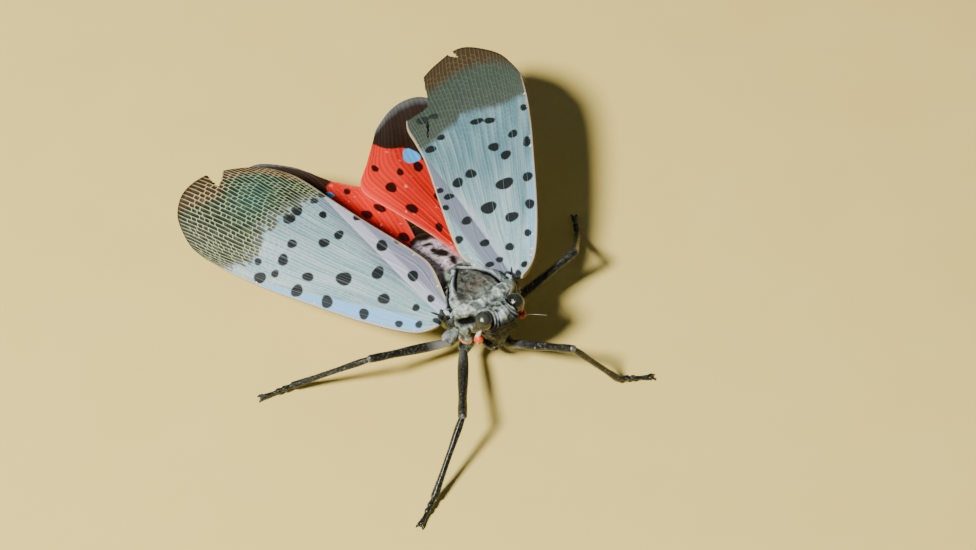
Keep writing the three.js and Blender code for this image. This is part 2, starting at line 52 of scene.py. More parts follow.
def node(material, kind, inputs=None, **settings):
    """Adds a node. inputs gives its sockets a value, a hex colour or a node."""
    made = material.node_tree.nodes.new("ShaderNode" + kind)
    for setting, value in settings.items():
        if setting == "stops":
            while len(made.color_ramp.elements) < len(value):
                made.color_ramp.elements.new(1)
            for element, (place, colour) in zip(made.color_ramp.elements, value):
                element.position, element.color = place, hexed(colour)
        else:
            setattr(made, setting, value)
    wire(material, made, inputs or {})
    return made


def wire(material, taker, sockets):
    """Sets several sockets of a node, each to a value, a hex colour or a node."""
    for socket, value in sockets.items():
        if isinstance(value, bpy.types.Node):
            value = value.outputs[2 if value.bl_idname in ("ShaderNodeMix", "ShaderNodeAttribute") else 0]
        if isinstance(value, bpy.types.NodeSocket):
            material.node_tree.links.new(value, taker.inputs[socket])
        else:
            taker.inputs[socket].default_value = hexed(value) if isinstance(value, str) else value


# Socket numbers of a Mix node, its share and its two colours, and of a Map
# Range node, its value, the range that comes in and the range that goes out.
SHARE, ONE, TWO = 0, 6, 7
VALUE, LOW, HIGH, TO_LOW, TO_HIGH = range(5)


def finish_named(name):
    """A new material, its shader, and the place on the object in millimetres.

    A pattern that takes this place has as its Scale the number of its grains
    in one millimetre.
    """
    material = bpy.data.materials.new(name)
    material.use_nodes = True
    place = node(material, "TexCoord").outputs["Object"]
    place = node(material, "VectorMath", {0: place, "Scale": 1 / MM}, operation="SCALE")
    return material, material.node_tree.nodes["Principled BSDF"], place


SENSOR_MM = 36
LENS_MM = 110.6
LOOK_AT = Vector((5.282, 0.51, 0)) * MM
TO_CAMERA = Vector((-0.3868, -0.5133, 0.7660)).normalized()
CAMERA_DISTANCE = 223.8 * MM
camera = bpy.data.objects.new("camera", bpy.data.cameras.new("camera"))
camera.data.lens = LENS_MM
camera.data.sensor_width = SENSOR_MM
camera.data.clip_start = 10 * MM
camera.data.clip_end = 20
camera.location = LOOK_AT + TO_CAMERA * CAMERA_DISTANCE
camera.rotation_euler = TO_CAMERA.to_track_quat("Z", "Y").to_euler()
bpy.context.scene.collection.objects.link(camera)
bpy.context.scene.camera = camera

# Each lamp: the way to it, its distance and width in metres, its watts, its tint.
for name, direction, distance, size, power, tint in (
    ("key lamp", (-0.84, -0.10, 1.0), 0.40, 0.08, 3.25, "#FFF8EC"),
    ("fill lamp", (0.55, -1.0, 0.7), 0.50, 0.45, 0.05, "#EAF2FF"),
    ("back lamp", (0.5, 1.0, 0.9), 0.50, 0.40, 0.10, "#F4F7FF"),
):
    light = bpy.data.lights.new(name, "AREA")
    light.shape = "DISK"
    light.size = size
    light.energy = power
    light.color = hexed(tint)[:3]
    lamp = bpy.data.objects.new(name, light)
    lamp.location = Vector(direction).normalized() * distance
    lamp.rotation_euler = Vector(direction).to_track_quat("Z", "Y").to_euler()
    bpy.context.scene.collection.objects.link(lamp)

world = bpy.data.worlds.new("pale room")
world.use_nodes = True
wire(world, world.node_tree.nodes["Background"], {"Color": "#E9ECEF", "Strength": 0.045})
bpy.context.scene.world = world

FLOOR_WIDTH = 6
bpy.ops.object.select_all(action="DESELECT")
bpy.ops.mesh.primitive_plane_add(size=FLOOR_WIDTH)
floor = bpy.context.object
floor.name = "floor"

# Smooth painted board, so a matt pale ground with hardly any cloud in it.
floor_paint, floor_shader, floor_place = finish_named("Pale matt board")
grain = node(floor_paint, "TexNoise", {"Vector": floor_place, "Scale": 0.12, "Detail": 3.0})
floor_colour = node(floor_paint, "Mix", {SHARE: grain, ONE: "#F3DC7C", TWO: "#FAE68A"}, data_type="RGBA")
wire(floor_paint, floor_shader, {"Base Color": floor_colour, "Roughness": 0.9})
floor.data.materials.append(floor_paint)

# The forewings
# Two leathery wings of waxed membrane on raised veins. The outer third is a
# net of small brick-like cells. Both have lost pieces of their outer edge.

# All sizes of the insect are in millimetres, along its own axes: X to its
# left, Y to its tail, from a point below its thorax. SHIFT centres it.
SHIFT = np.array([0.532, -4.74, 0.0])
FOREWING_LENGTH = 21.5
# Outlines of a wing laid flat, as places along it and back from its front,
# which are a and c in what follows. s and t are shares of the way, 0 to 1.
FOREWING_FRONT = [[0, -0.62], [1.5, -1.75], [5.4, -2.36], [11.5, -2.57], [15.1, -2.48], [17.66, -2.1]]
FOREWING = {
    "right": {
        "front": FOREWING_FRONT,
        "outer": [[17.66, -2.1], [19.08, -1.62], [20.2, -0.8], [21.08, 0.21], [21.49, 1.6],
                  [21.28, 2.85], [20.6, 4.1], [19.6, 5.0], [18.37, 5.85], [17.3, 6.4], [16.4, 6.6]],
        "rear": [[0, 1.05], [2.2, 3.38], [4.01, 4.14], [7.72, 4.92], [11.2, 5.8], [13.4, 6.42],
                 [14.93, 6.7], [16.4, 6.6]],
    },
    "left": {
        "front": FOREWING_FRONT,
        "outer": [[17.66, -2.1], [19.1, -1.35], [20.3, -0.45], [21.35, 1.1], [21.72, 2.3],
                  [21.5, 3.2], [20.88, 4.04], [20.08, 4.86], [19.04, 5.64], [17.9, 6.3], [16.4, 6.75]],
        "rear": [[0, 1.05], [2.2, 3.38], [4.01, 4.14], [7.72, 4.92], [11.2, 5.65], [12.96, 6.25],
                 [14.5, 6.8], [16.4, 6.75]],
    },
}
# How a wing is held: its root, its heading, rise and roll in degrees, its
# side, and how far it arches along and bellies across.
forewing_right = ([-3.14, 0.11, 5.67], 121.8, 8.3, 20.8, -1, -0.08, -0.23)
forewing_left = ([3.14, -0.11, 5.7], 59.7, 13.7, -18.3, 1, -0.14, 0.1)
# What each wing has lost: outlines round the missing pieces, along and back.
TEARS = {
    "right": [
        [(20.75, 4.12), (20.35, 3.98), (19.95, 3.7), (19.3, 3.5), (19.32, 3.94), (19.62, 4.95), (21, 6.5)],
    ],
    "left": [
        [(22, 3.3), (21.35, 3.05), (20.85, 2.72), (20.78, 2.86), (21.2, 3.55), (22, 4.2)],
        [(19.35, 5.4), (18.3, 5.32), (17.2, 5.2), (16.45, 5.22), (16.05, 5.62), (15.75, 6.06), (15.35, 6.6),
         (15.2, 7.5), (20, 7.5)],
        [(15.0, 5.16), (14.2, 5.2), (13.1, 5.3), (14.1, 5.34), (15.0, 5.32)],
    ],
}


def evened(stations, rows):
    """A smooth run of rows through a few stations of numbers."""
    stations = np.array(stations, float)
    last = len(stations) - 1
    t = np.linspace(0, last, rows)
    k = np.minimum(t.astype(int), last - 1)
    w = (t - k)[:, None]
    before, start, end, after = (stations[np.clip(k + d, 0, last)] for d in (-1, 0, 1, 2))
    v0, v1 = (end - before) / 2, (after - start) / 2
    cubed = 2 * start - 2 * end + v0 + v1
    squared = 3 * end - 3 * start - 2 * v0 - v1
    return cubed * w ** 3 + squared * w ** 2 + v0 * w + start


def smooth_curve(points, shares):
    """Places along a smooth curve through the points, by share of its length."""
    line = evened(points, 401)
    length = np.concatenate([[0], np.cumsum(np.linalg.norm(np.diff(line, axis=0), axis=1))])
    return np.stack([np.interp(shares * length[-1], length, line[:, i]) for i in (0, 1)], -1)


def wing_plan(outline, s, t):
    """Millimetres along the wing and back from its front, for shares s and t."""
    front = smooth_curve(outline["front"], s)
    rear = smooth_curve(outline["rear"], s)
    outer = smooth_curve(outline["outer"], t)
    s, t = s[..., None], t[..., None]
    front_tip, rear_tip = np.array(outline["outer"][0], float), np.array(outline["outer"][-1], float)
    place = front * (1 - t) + rear * t + outer * s
    return place - front_tip * s * (1 - t) - rear_tip * s * t


# A wing's camber is its bend at this depth, as a share of this depth.
BELLY_DEPTH = 5.0


def held_wing(pose, a, c, lift):
    """Puts places of the wing's plane into the insect, lifted off the plane."""
    root, heading, rise, roll, side, arch, camber = pose
    heading, rise, roll = (math.radians(x) for x in (heading, rise, roll))
    ahead = np.array([math.cos(heading), math.sin(heading), 0])
    along = math.cos(rise) * ahead + np.array([0, 0, math.sin(rise)])
    level = np.array([-ahead[1], ahead[0], 0]) * side
    up = np.cross(along, level) * side
    back = level * math.cos(roll) + up * math.sin(roll)
    out = np.cross(along, back) * side
    bend = arch * a ** 2 / FOREWING_LENGTH + camber * c ** 2 / BELLY_DEPTH + lift
    return np.array(root) + a[..., None] * along + c[..., None] * back + bend[..., None] * out


def note(piece, name, values):
    """Keeps one number for each corner of a piece, for its material."""
    kept = piece.data.attributes.new(name, "FLOAT", "POINT")
    kept.data.foreach_set("value", np.asarray(values, np.float32).ravel())


def close_up(piece, gap=1e-7):
    """Merges the corners that lie together and turns all faces outwards."""
    bpy.ops.object.select_all(action="DESELECT")
    piece.select_set(True)
    bpy.context.view_layer.objects.active = piece
    bpy.ops.object.mode_set(mode="EDIT")
    bpy.ops.mesh.select_all(action="SELECT")
    bpy.ops.mesh.remove_doubles(threshold=gap)
    bpy.ops.mesh.dissolve_degenerate(threshold=gap)
    bpy.ops.mesh.normals_make_consistent(inside=False)
    bpy.ops.object.mode_set(mode="OBJECT")
    bpy.ops.object.shade_smooth()
    return piece


def hashed(*numbers):
    """A fixed but scattered number from 0 to 1 for each place of a grid."""
    total = sum(np.asarray(n, float) * k for n, k in zip(numbers, (12.9898, 78.233, 37.719)))
    return np.modf(np.abs(np.sin(total) * 43758.5453))[0]


def ease(low, high, x):
    """0 up to low and 1 from high on, with a soft rise between."""
    x = np.clip((np.asarray(x, float) - low) / (high - low), 0, 1)
    return x * x * (3 - 2 * x)


def bump_at(distance, width):
    """1 where the distance is 0, and softly down to 0 past the width."""
    return np.exp(-(distance / width) ** 2)


def inside(outline, a, c):
    """Which places lie inside a closed outline."""
    found = np.zeros(a.shape, bool)
    for (a0, c0), (a1, c1) in zip(outline, outline[1:] + outline[:1]):
        if c0 != c1:
            found ^= ((c0 > c) != (c1 > c)) & (a < (a1 - a0) * (c - c0) / (c1 - c0) + a0)
    return found


# A forewing's fine veins across, its net's half cells along, and the rows
# that are its main veins. A fine vein's foot lies that share of a row away.
ROWS = 40
HALF_CELLS = 100
VEIN_ROWS = (4, 9, 14, 19, 24, 29, 34)
VEIN_FOOT = 0.27


def wing_lines(rows, halves):
    """Grid lines: each vein row is a crest with a foot on both sides."""
    t_row, t_part = np.divmod(np.arange(rows * 3 + 1), 3)
    t = (t_row + np.array([0, VEIN_FOOT, 1 - VEIN_FOOT])[t_part]) / rows
    s_cell, s_part = np.divmod(np.arange(halves * 2 + 1), 2)
    s = (s_cell + 0.5 * s_part) / halves
    return t_row, t_part, t, s_cell, s_part, s


# The share of cross veins that are missing, so that some cells are long.
LONG_CELLS = 0.36


def veins_of(rows, halves, mains, net_from):
    """1 on a vein and 0 off it, for each crossing of the wing's grid lines."""
    t_row, t_part, _, s_cell, s_part, s = wing_lines(rows, halves)
    shares, row_of = np.meshgrid(s, t_row, indexing="ij")
    main = np.isin(row_of, mains)
    start = np.where(main, 0.0, 0.2 + 0.2 * hashed(row_of, 3.0))
    along = (t_part == 0)[None, :] * ease(start - 0.001, start + 0.06, shares)
    cell, row = np.meshgrid(s_cell, t_row, indexing="ij")
    meets = (cell + row) % 2 == 0
    scatter = hashed(cell // 2, row)
    netted = (shares > net_from + 0.1 * (scatter - 0.5)) | (scatter > 0.975)
    crossing = meets * netted * (shares < 0.965)
    crossing = crossing * (hashed(cell, row + 5.0) > LONG_CELLS)
    crossing = crossing * ((s_part == 0)[:, None] & (t_part != 0)[None, :])
    return np.maximum(along, 0.9 * crossing), main & (t_part == 0)[None, :]


# Heights in millimetres: main and fine veins, half the wing's thickness at
# its edge, what it gains inwards and at its root, and how far veins stray.
MAIN_VEIN = 0.11
FINE_VEIN = 0.03
HALF_EDGE = 0.014
HALF_SKIN = 0.035
HALF_ROOT = 0.16
STRAY = 0.14


def membrane(name, outline, pose, rows, halves, mains, net_from, tears, relief):
    """One wing: an upper and a lower face over one grid, with walls round both."""
    t_row, t_part, t, _, _, s = wing_lines(rows, halves)
    vein, main = veins_of(rows, halves, mains, net_from)
    out_share, back_share = np.meshgrid(s, t, indexing="ij")
    a, c = np.moveaxis(wing_plan(outline, out_share, back_share), -1, 0)
    loose = ease(0, 0.03, out_share) * ease(1, 0.97, out_share)
    loose = loose * ease(0, 0.05, back_share) * ease(1, 0.95, back_share)
    a = a + loose * (STRAY * (hashed(t_row)[None] - 0.5) + 0.02 * np.sin(4 * c + 2 * a))
    c = c + loose * 0.03 * np.sin(1.1 * a + 1.3 * c)
    ridge = vein * np.where(main, MAIN_VEIN * (1 - 0.7 * out_share), FINE_VEIN)
    edge = np.minimum.reduce([
        out_share / 0.01, (1 - out_share) / 0.006, back_share / 0.015, (1 - back_share) / 0.015])
    edge = np.clip(edge, 0, 1)
    half = HALF_EDGE + (HALF_SKIN + HALF_ROOT * (1 - ease(0, 0.15, out_share))) * edge ** 0.5
    wave, more = relief(a, c, out_share, back_share)
    upper = held_wing(pose, a, c, wave + half + (ridge + more) * edge)
    lower = held_wing(pose, a, c, wave - half - 0.4 * ridge * edge)
    kept = np.ones((len(s) + 1, len(t) + 1), bool)
    kept[[0, -1]] = kept[:, [0, -1]] = False
    middle_a, middle_c = ((x[1:, 1:] + x[:-1, :-1]) / 2 for x in (a, c))
    for tear in tears:
        kept[1:-1, 1:-1] &= ~inside(tear, middle_a, middle_c)
    number = np.arange(a.size).reshape(a.shape)
    below = number + a.size
    i, j = np.nonzero(kept[1:-1, 1:-1])
    ring = [(i, j), (i + 1, j), (i + 1, j + 1), (i, j + 1)]
    faces = [np.stack([number[place] for place in ring], -1)]
    faces.append(np.stack([below[place] for place in ring[::-1]], -1))
    for k, (di, dj) in enumerate(((0, -1), (1, 0), (0, 1), (-1, 0))):
        bare = ~kept[i + 1 + di, j + 1 + dj]
        one, two = ((x[bare], y[bare]) for x, y in (ring[k], ring[(k + 1) % 4]))
        faces.append(np.stack([number[two], number[one], below[one], below[two]], -1))
    faces = np.concatenate(faces)
    used, faces = np.unique(faces, return_inverse=True)
    corners = np.concatenate([upper.reshape(-1, 3), lower.reshape(-1, 3)])[used]
    mesh = bpy.data.meshes.new(name)
    mesh.from_pydata((corners + SHIFT) * MM, [], faces.reshape(-1, 4).tolist())
    piece = bpy.data.objects.new(name, mesh)
    bpy.context.scene.collection.objects.link(piece)
    grids = (a, c, out_share, back_share, vein, main * vein)
    both = [np.concatenate([grid.ravel(), grid.ravel()])[used] for grid in grids]
    note(piece, "vein", both[4])
    note(piece, "main", both[5])
    return piece, *both[:4]


# Each wing has its own spots: place along, place back, half length, half width.
FOREWING_SPOTS = {
    "right": [
        (14.07, -0.97, 0.28, 0.27), (13.46, -2.0, 0.42, 0.45), (12.55, -1.35, 0.3, 0.29),
        (12.43, -0.19, 0.38, 0.46), (12.33, 1.18, 0.34, 0.38), (13.39, 2.96, 0.5, 0.4),
        (13.15, 3.82, 0.44, 0.4), (10.23, -0.72, 0.41, 0.35), (10.56, -1.94, 0.44, 0.45),
        (8.21, -1.92, 0.42, 0.46), (10.23, 2.13, 0.39, 0.4), (9.52, 3.16, 0.35, 0.38),
        (11.29, 4.26, 0.3, 0.3), (12.13, 5.89, 0.3, 0.3), (12.41, 5.13, 0.32, 0.26),
        (5.39, -1.76, 0.37, 0.4), (7.75, 0.08, 0.55, 0.55), (5.68, 1.44, 0.43, 0.5),
        (6.31, 3.57, 0.42, 0.48), (8.95, 5.04, 0.28, 0.26), (5.44, 4.44, 0.3, 0.24),
        (3.28, 2.21, 0.4, 0.43), (4.49, -0.23, 0.42, 0.42), (2.1, 0.02, 0.28, 0.28),
        (1.39, 1.06, 0.29, 0.29), (2.77, -1.52, 0.27, 0.27), (1.42, -1.05, 0.27, 0.27),
        (0.3, -0.35, 0.36, 0.2), (0.5, 0.1, 0.5, 0.08), (0.15, 0.05, 0.3, 0.22),
    ],
    "left": [
        (14.36, -2.11, 0.3, 0.3), (11.2, -2.1, 0.44, 0.31), (12.26, -1.08, 0.38, 0.36),
        (11.52, 0.46, 0.38, 0.44), (10.55, -0.39, 0.38, 0.44), (8.13, -1.9, 0.42, 0.37),
        (9.56, 2.36, 0.4, 0.43), (8.99, 3.38, 0.42, 0.42), (8.05, -0.1, 0.5, 0.66),
        (5.81, -1.82, 0.42, 0.37), (7.9, 4.13, 0.25, 0.42), (8.54, 4.74, 0.25, 0.27),
        (6.99, 4.43, 0.24, 0.27), (6.32, 1.28, 0.48, 0.65), (5.12, -0.35, 0.42, 0.5),
        (3.48, -1.41, 0.31, 0.28), (5.59, 2.99, 0.33, 0.42), (3.48, 1.86, 0.32, 0.35),
        (1.85, 0.91, 0.25, 0.28), (4.13, 3.72, 0.32, 0.34), (1.62, 1.69, 0.25, 0.34),
        (2.71, 0.06, 0.32, 0.35), (0.98, -0.88, 0.25, 0.28), (14.16, 1.59, 0.28, 0.5),
        (13.98, 0.6, 0.28, 0.44), (12.36, 5.17, 0.3, 0.46), (13.29, 4.34, 0.28, 0.3),
        (15.4, 4.75, 0.28, 0.45), (15.15, 5.6, 0.38, 0.55), (0.3, -0.35, 0.4, 0.22),
        (0.5, 0.1, 0.5, 0.08), (0.15, 0.05, 0.32, 0.25),
    ],
}
# Where the net begins along each wing, for each place back from its front.
NET_EDGE = {
    "right": [
        (-2.34, 16.1), (-1.27, 14.5), (0.24, 14.3), (1.27, 14.25), (2.07, 14.1), (3.13, 13.8),
        (3.9, 13.4), (4.72, 13.0), (5.34, 12.3), (5.95, 11.9),
    ],
    "left": [
        (-1.98, 15.4), (-0.36, 15.0), (1.47, 15.05), (2.82, 15.0), (3.05, 14.3), (4.05, 13.7),
        (4.79, 13.0), (5.7, 12.3),
    ],
}
# Where the browned end of each wing begins, in the same way.
BROWN_EDGE = {
    "right": [
        (-2.0, 22.5), (0.4, 21.2), (1.39, 19.9), (2.26, 19.0), (2.98, 18.7), (4.29, 18.8),
        (5.24, 17.9), (5.9, 16.6), (6.4, 13.6),
    ],
    "left": [
        (-2.32, 16.3), (-1.78, 18.2), (-0.6, 19.2), (1.26, 19.5), (2.64, 19.1), (4.02, 18.35),
        (4.93, 17.6), (6.5, 17.0),
    ],
}


def spotted(a, c, spots):
    """How far inside the nearest of the spots a place lies, in millimetres."""
    depth = np.full(a.shape, -9.0)
    for k, (a0, c0, ra, rc) in enumerate(spots):
        turn = np.arctan2(c - c0, a - a0)
        wobble = 1 + 0.07 * np.sin(2 * turn + 2.1 * k) + 0.05 * np.sin(3 * turn + 1.3 * k)
        near = np.hypot((a - a0) / ra, (c - c0) / rc) / wobble
        depth = np.maximum(depth, (1 - near) * (ra + rc) / 2)
    return depth


def suture(a):
    """The long fold that parts off the wing's rear field, back from the front."""
    return 0.43 * a + 0.004 * a ** 2


def front_vein(a):
    """The vein behind the narrow front field."""
    return -0.3 - 0.155 * a


def forewing_relief(a, c, s, t):
    """Soft waves, and the raised front vein, sunk fold and thick front edge."""
    wave = 0.05 * np.sin(a * 0.9 + 2 * t) * s + 0.03 * np.sin(c * 2.2 + a * 0.4) * s
    fold = bump_at(c - suture(a), 0.12) * ease(0.5, 1.5, a) * ease(12, 10.5, a)
    costa = bump_at(c - front_vein(a), 0.11) * ease(0.5, 1, a) * ease(14.5, 13.5, a)
    front = bump_at(t * (7 - 3 * (1 - s)), 0.16)
    return wave, 0.07 * costa - 0.05 * fold + 0.08 * front * (1 - 0.6 * s)


def placed_at(table, c):
    """Where along the wing a border lies, for places back from its front."""
    return np.interp(c, *zip(*table))


# The share of the way out where the net's cross veins start. The left wing's
# end is worn, so its net is faint, and its front field has next to no painted reflection of the sky.
NET_FROM = 0.58
forewings = {}
for side, pose in (("right", forewing_right), ("left", forewing_left)):
    piece, a, c, s, t = membrane(
        f"forewing_{side}_membrane", FOREWING[side], pose, ROWS, HALF_CELLS, VEIN_ROWS, NET_FROM,
        TEARS[side], forewing_relief)
    fresh = side == "right"
    row = np.floor(t * ROWS)
    brick = np.floor((s * HALF_CELLS + row % 2) / 2)
    chance = hashed(brick, row) - 0.5
    ragged = 0.8 * chance + 0.5 * (hashed(row, 7.0) - 0.5)
    note(piece, "spot", spotted(a, c, FOREWING_SPOTS[side]))
    past = a - placed_at(NET_EDGE[side], c)
    note(piece, "apex", past - ragged if fresh else 0.35 * (past - 0.15 * ragged))
    note(piece, "brown", ease(-0.4, 0.9, a - placed_at(BROWN_EDGE[side], c) + 0.5 * chance))
    teal_patch = bump_at(np.hypot((a - 16.6) / 1.9, (c - 3.7) / 2.4), 1)
    note(piece, "teal", teal_patch if fresh else 0.75 + 0 * a)
    behind = c - suture(a)
    rear_field = ease(-0.03, 0.05, behind)
    band = rear_field * (ease(1.0, 0.75, behind) if fresh else ease(1.5, 1.1, behind))
    pale_band = np.maximum(band, ease(9.3, 9.8, a) * rear_field)
    pale_strip = 0.6 * bump_at(behind + 0.3, 0.25) * ease(9, 6, a)
    note(piece, "lavender", pale_band if fresh else pale_strip)
    note(piece, "violet", rear_field if fresh else band)
    wedge = ease(-1.3, -0.2, behind) * ease(0.1, -0.02, behind) * ease(3, 5, a) * ease(13.5, 11, a)
    note(piece, "wedge", wedge if fresh else band)
    # The front field's light blue is a painted reflection of the sky; the left wing gets next to none.
    front_field_painted_sky = (front_vein(a) - c) if fresh else 0.1 * (front_vein(a) - c - 0.2)
    note(piece, "costa", front_field_painted_sky * ease(0.5, 3.5, a))
    note(piece, "rim", np.minimum(t, 1 - t) * np.interp(a, [0, 8, 20], [2, 7, 8]))
    note(piece, "tip", (1 - s) * 20)
    note(piece, "streak", hashed(row, 5.0) * 0.6 + 0.4 * np.sin(a * 0.8 + 9 * hashed(row, 2.0)))
    # Painted shade: the left wing, which faces away from the light, is made darker and bluer. On the right
    # wing the same note is a real blue tint behind its front field.
    far_wing_painted_shade = np.maximum(0.95 * ease(3, 12, a), 0.7 * ease(-0.4, -1.2, c) * ease(3, 6, a))
    note(piece, "deep", 0.3 * ease(0.5, 2.5, c) * ease(7, 11, a) if fresh else far_wing_painted_shade)
    note(piece, "faint", (0.0 if fresh else 0.88) + 0 * a)
    forewings[side] = close_up(piece)
    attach(piece, "root")
    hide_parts(f"forewing_{side}")

# Tegmen: chitin under a thin bloom of wax, so the blue-grey is soft and a
# little glossy, the veins paler, the spots dull black, the net dark brown.
tegmen, shader, place = finish_named("Waxed wing membrane with pale veins")
at = {name: node(tegmen, "Attribute", attribute_name=name) for name in (
    "spot", "vein", "main", "apex", "brown", "teal", "lavender", "violet", "wedge", "costa", "rim", "tip",
    "streak", "deep", "faint")}
at["cloud"] = node(tegmen, "TexNoise", {"Vector": place, "Scale": 0.35, "Detail": 3.0})
at["fine"] = node(tegmen, "TexNoise", {"Vector": place, "Scale": 5.0, "Detail": 4.0})
at["speck"] = node(tegmen, "TexNoise", {"Vector": place, "Scale": 2.6, "Detail": 2.0})

# The waxed part: what shows a colour, from which of its values to which, how
# much of the colour there is at both, and the colour.
waxed_part = node(tegmen, "Mix", {SHARE: at["cloud"], ONE: "#6596A8", TWO: "#86AEBA"}, data_type="RGBA")
# The deep blue: a real tint on the right wing and painted shade on the left.
blue_tint_and_shade = node(tegmen, "Mix", {SHARE: at["streak"], ONE: "#386776", TWO: "#628C99"}, data_type="RGBA")
for shown_by, low, high, start, end, colour in (
    ("streak", 0.0, 1.0, 0.0, 0.75, "#B7CACE"),
    ("fine", 0.4, 0.7, 0.0, 0.25, "#C9DCDF"),
    ("vein", 0.3, 0.75, 0.0, 0.42, "#D8ECEE"),
    ("deep", 0.0, 1.0, 0.0, 0.8, blue_tint_and_shade),
    ("violet", 0.0, 1.0, 0.0, 0.85, "#80829A"),
    ("wedge", 0.0, 1.0, 0.0, 0.6, "#68788C"),
    ("lavender", 0.0, 1.0, 0.0, 0.9, "#B9BFD6"),
    # Painted reflection of the sky on the front field.
    ("costa", 0.0, 0.15, 0.0, 0.9, "#7CC2FA"),
):
    share = node(tegmen, "MapRange", {
        VALUE: at[shown_by], LOW: low, HIGH: high, TO_LOW: start, TO_HIGH: end})
    waxed_part = node(tegmen, "Mix", {SHARE: share, ONE: waxed_part, TWO: colour}, data_type="RGBA")
crossing = node(tegmen, "MapRange", {VALUE: at["main"], LOW: 0.35, HIGH: 0.8, TO_LOW: 0.0, TO_HIGH: 0.45})
crossed = node(tegmen, "Mix", {SHARE: crossing, ONE: "#0B1518", TWO: "#6B8388"}, data_type="RGBA")
spot = node(tegmen, "MapRange", {VALUE: at["spot"], LOW: -0.05, HIGH: 0.05, TO_LOW: 0.0, TO_HIGH: 0.96})
waxed_part = node(tegmen, "Mix", {SHARE: spot, ONE: waxed_part, TWO: crossed}, data_type="RGBA")

# The net: its cells, its lines, and the even colour of the worn left wing,
# each green, then teal, then brown at the tip.
browned = {}
for part, green, teal, brown in (
    ("cell", "#151C0C", "#1F3F35", "#38270F"),
    ("line", "#B2BF92", "#86AE98", "#C6B286"),
    ("even", "#3D4A42", "#3D4A42", "#403420"),
):
    tinted = node(tegmen, "Mix", {SHARE: at["teal"], ONE: green, TWO: teal}, data_type="RGBA")
    browned[part] = node(tegmen, "Mix", {SHARE: at["brown"], ONE: tinted, TWO: brown}, data_type="RGBA")
dusty = node(tegmen, "MapRange", {VALUE: at["speck"], LOW: 0.5, HIGH: 0.7, TO_LOW: 0.0, TO_HIGH: 0.45})
cell = node(tegmen, "Mix", {SHARE: dusty, ONE: browned["cell"], TWO: "#5D6E50"}, data_type="RGBA")
starting = node(tegmen, "MapRange", {VALUE: at["apex"], LOW: 0.1, HIGH: 1.2, TO_LOW: 0.5, TO_HIGH: 0.0})
cell = node(tegmen, "Mix", {SHARE: starting, ONE: cell, TWO: "#6E7875"}, data_type="RGBA")
line = node(tegmen, "Mix", {SHARE: starting, ONE: browned["line"], TWO: "#BCC8C2"}, data_type="RGBA")
on_line = node(tegmen, "MapRange", {VALUE: at["vein"], LOW: 0.5, HIGH: 0.92})
net = node(tegmen, "Mix", {SHARE: on_line, ONE: cell, TWO: line}, data_type="RGBA")
net = node(tegmen, "Mix", {SHARE: at["faint"], ONE: net, TWO: browned["even"]}, data_type="RGBA")
in_net = node(tegmen, "MapRange", {VALUE: at["apex"], LOW: -0.08, HIGH: 0.15})
whole = node(tegmen, "Mix", {SHARE: in_net, ONE: waxed_part, TWO: net}, data_type="RGBA")

# Over all of it: the spots in the net, painted white glints near the edges, the cream
# rim with a thin dark line of painted shade along it, and the dark outer edge.
# Painted glints: white flecks of speck noise near the edges.
at_edge = node(tegmen, "MapRange", {VALUE: at["rim"], LOW: 0.9, HIGH: 0.3})
at["painted_glint"] = node(tegmen, "Math", {0: at["speck"], 1: at_edge}, operation="MULTIPLY")
for shown_by, low, high, start, end, colour in (
    ("spot", -0.02, 0.08, 0.0, 0.75, crossed),
    ("painted_glint", 0.66, 0.7, 0.0, 1.0, "#EFEADB"),
    ("rim", 0.07, 0.2, 0.75, 0.0, "#D5C49E"),
    # The thin dark line on the rim is painted shade on the edge's shadow side.
    ("rim", 0.0, 0.06, 0.8, 0.0, "#4B3B25"),
    ("tip", 0.05, 0.3, 0.8, 0.0, "#33260F"),
):
    share = node(tegmen, "MapRange", {
        VALUE: at[shown_by], LOW: low, HIGH: high, TO_LOW: start, TO_HIGH: end})
    whole = node(tegmen, "Mix", {SHARE: share, ONE: whole, TWO: colour}, data_type="RGBA")
relief = node(tegmen, "Bump", {"Height": at["fine"], "Strength": 0.35, "Distance": 0.00004})
wire(tegmen, shader, {"Base Color": whole, "Roughness": 0.6, "IOR": 1.4, "Normal": relief})
for piece in forewings.values():
    piece.data.materials.append(tegmen)

# The hind wings
# Two soft pleated wings of thinner membrane: red with black spots, a blue
# white patch, a brown-black band and a grey outer edge.
HINDWING = {
    "right": {
        "front": [[0, -0.45], [3, -1.25], [8, -1.7], [13, -1.5], [15.9, -0.7]],
        "outer": [[15.9, -0.7], [17.4, 0.9], [17.2, 3.1], [15.1, 4.7], [12.2, 5.45], [9.3, 6.45]],
        "rear": [[0.15, 0.55], [1.7, 2.6], [3.1, 4.14], [5.3, 5.8], [7.9, 7.2], [9.3, 6.45]],
    },
    "left": {
        "front": [[0, -0.45], [3, -1.25], [8, -1.7], [13, -1.5], [16.2, -0.7]],
        "outer": [[16.2, -0.7], [17.8, 1.3], [17.45, 3.05], [16.3, 4.45], [14.0, 6.0], [12.4, 6.4]],
        "rear": [[0.15, 0.55], [2, 1.96], [3.74, 3.57], [5.82, 5.88], [7.96, 8.05], [10.4, 7.3],
                 [12.4, 6.4]],
    },
}
hindwing_right = ([-2.62, 2.95, 4.0], 111, 2.9, -1.5, -1, 0.1, 0)
hindwing_left = ([2.62, 2.75, 3.95], 62.5, 5.2, 12, 1, -0.1, 0)
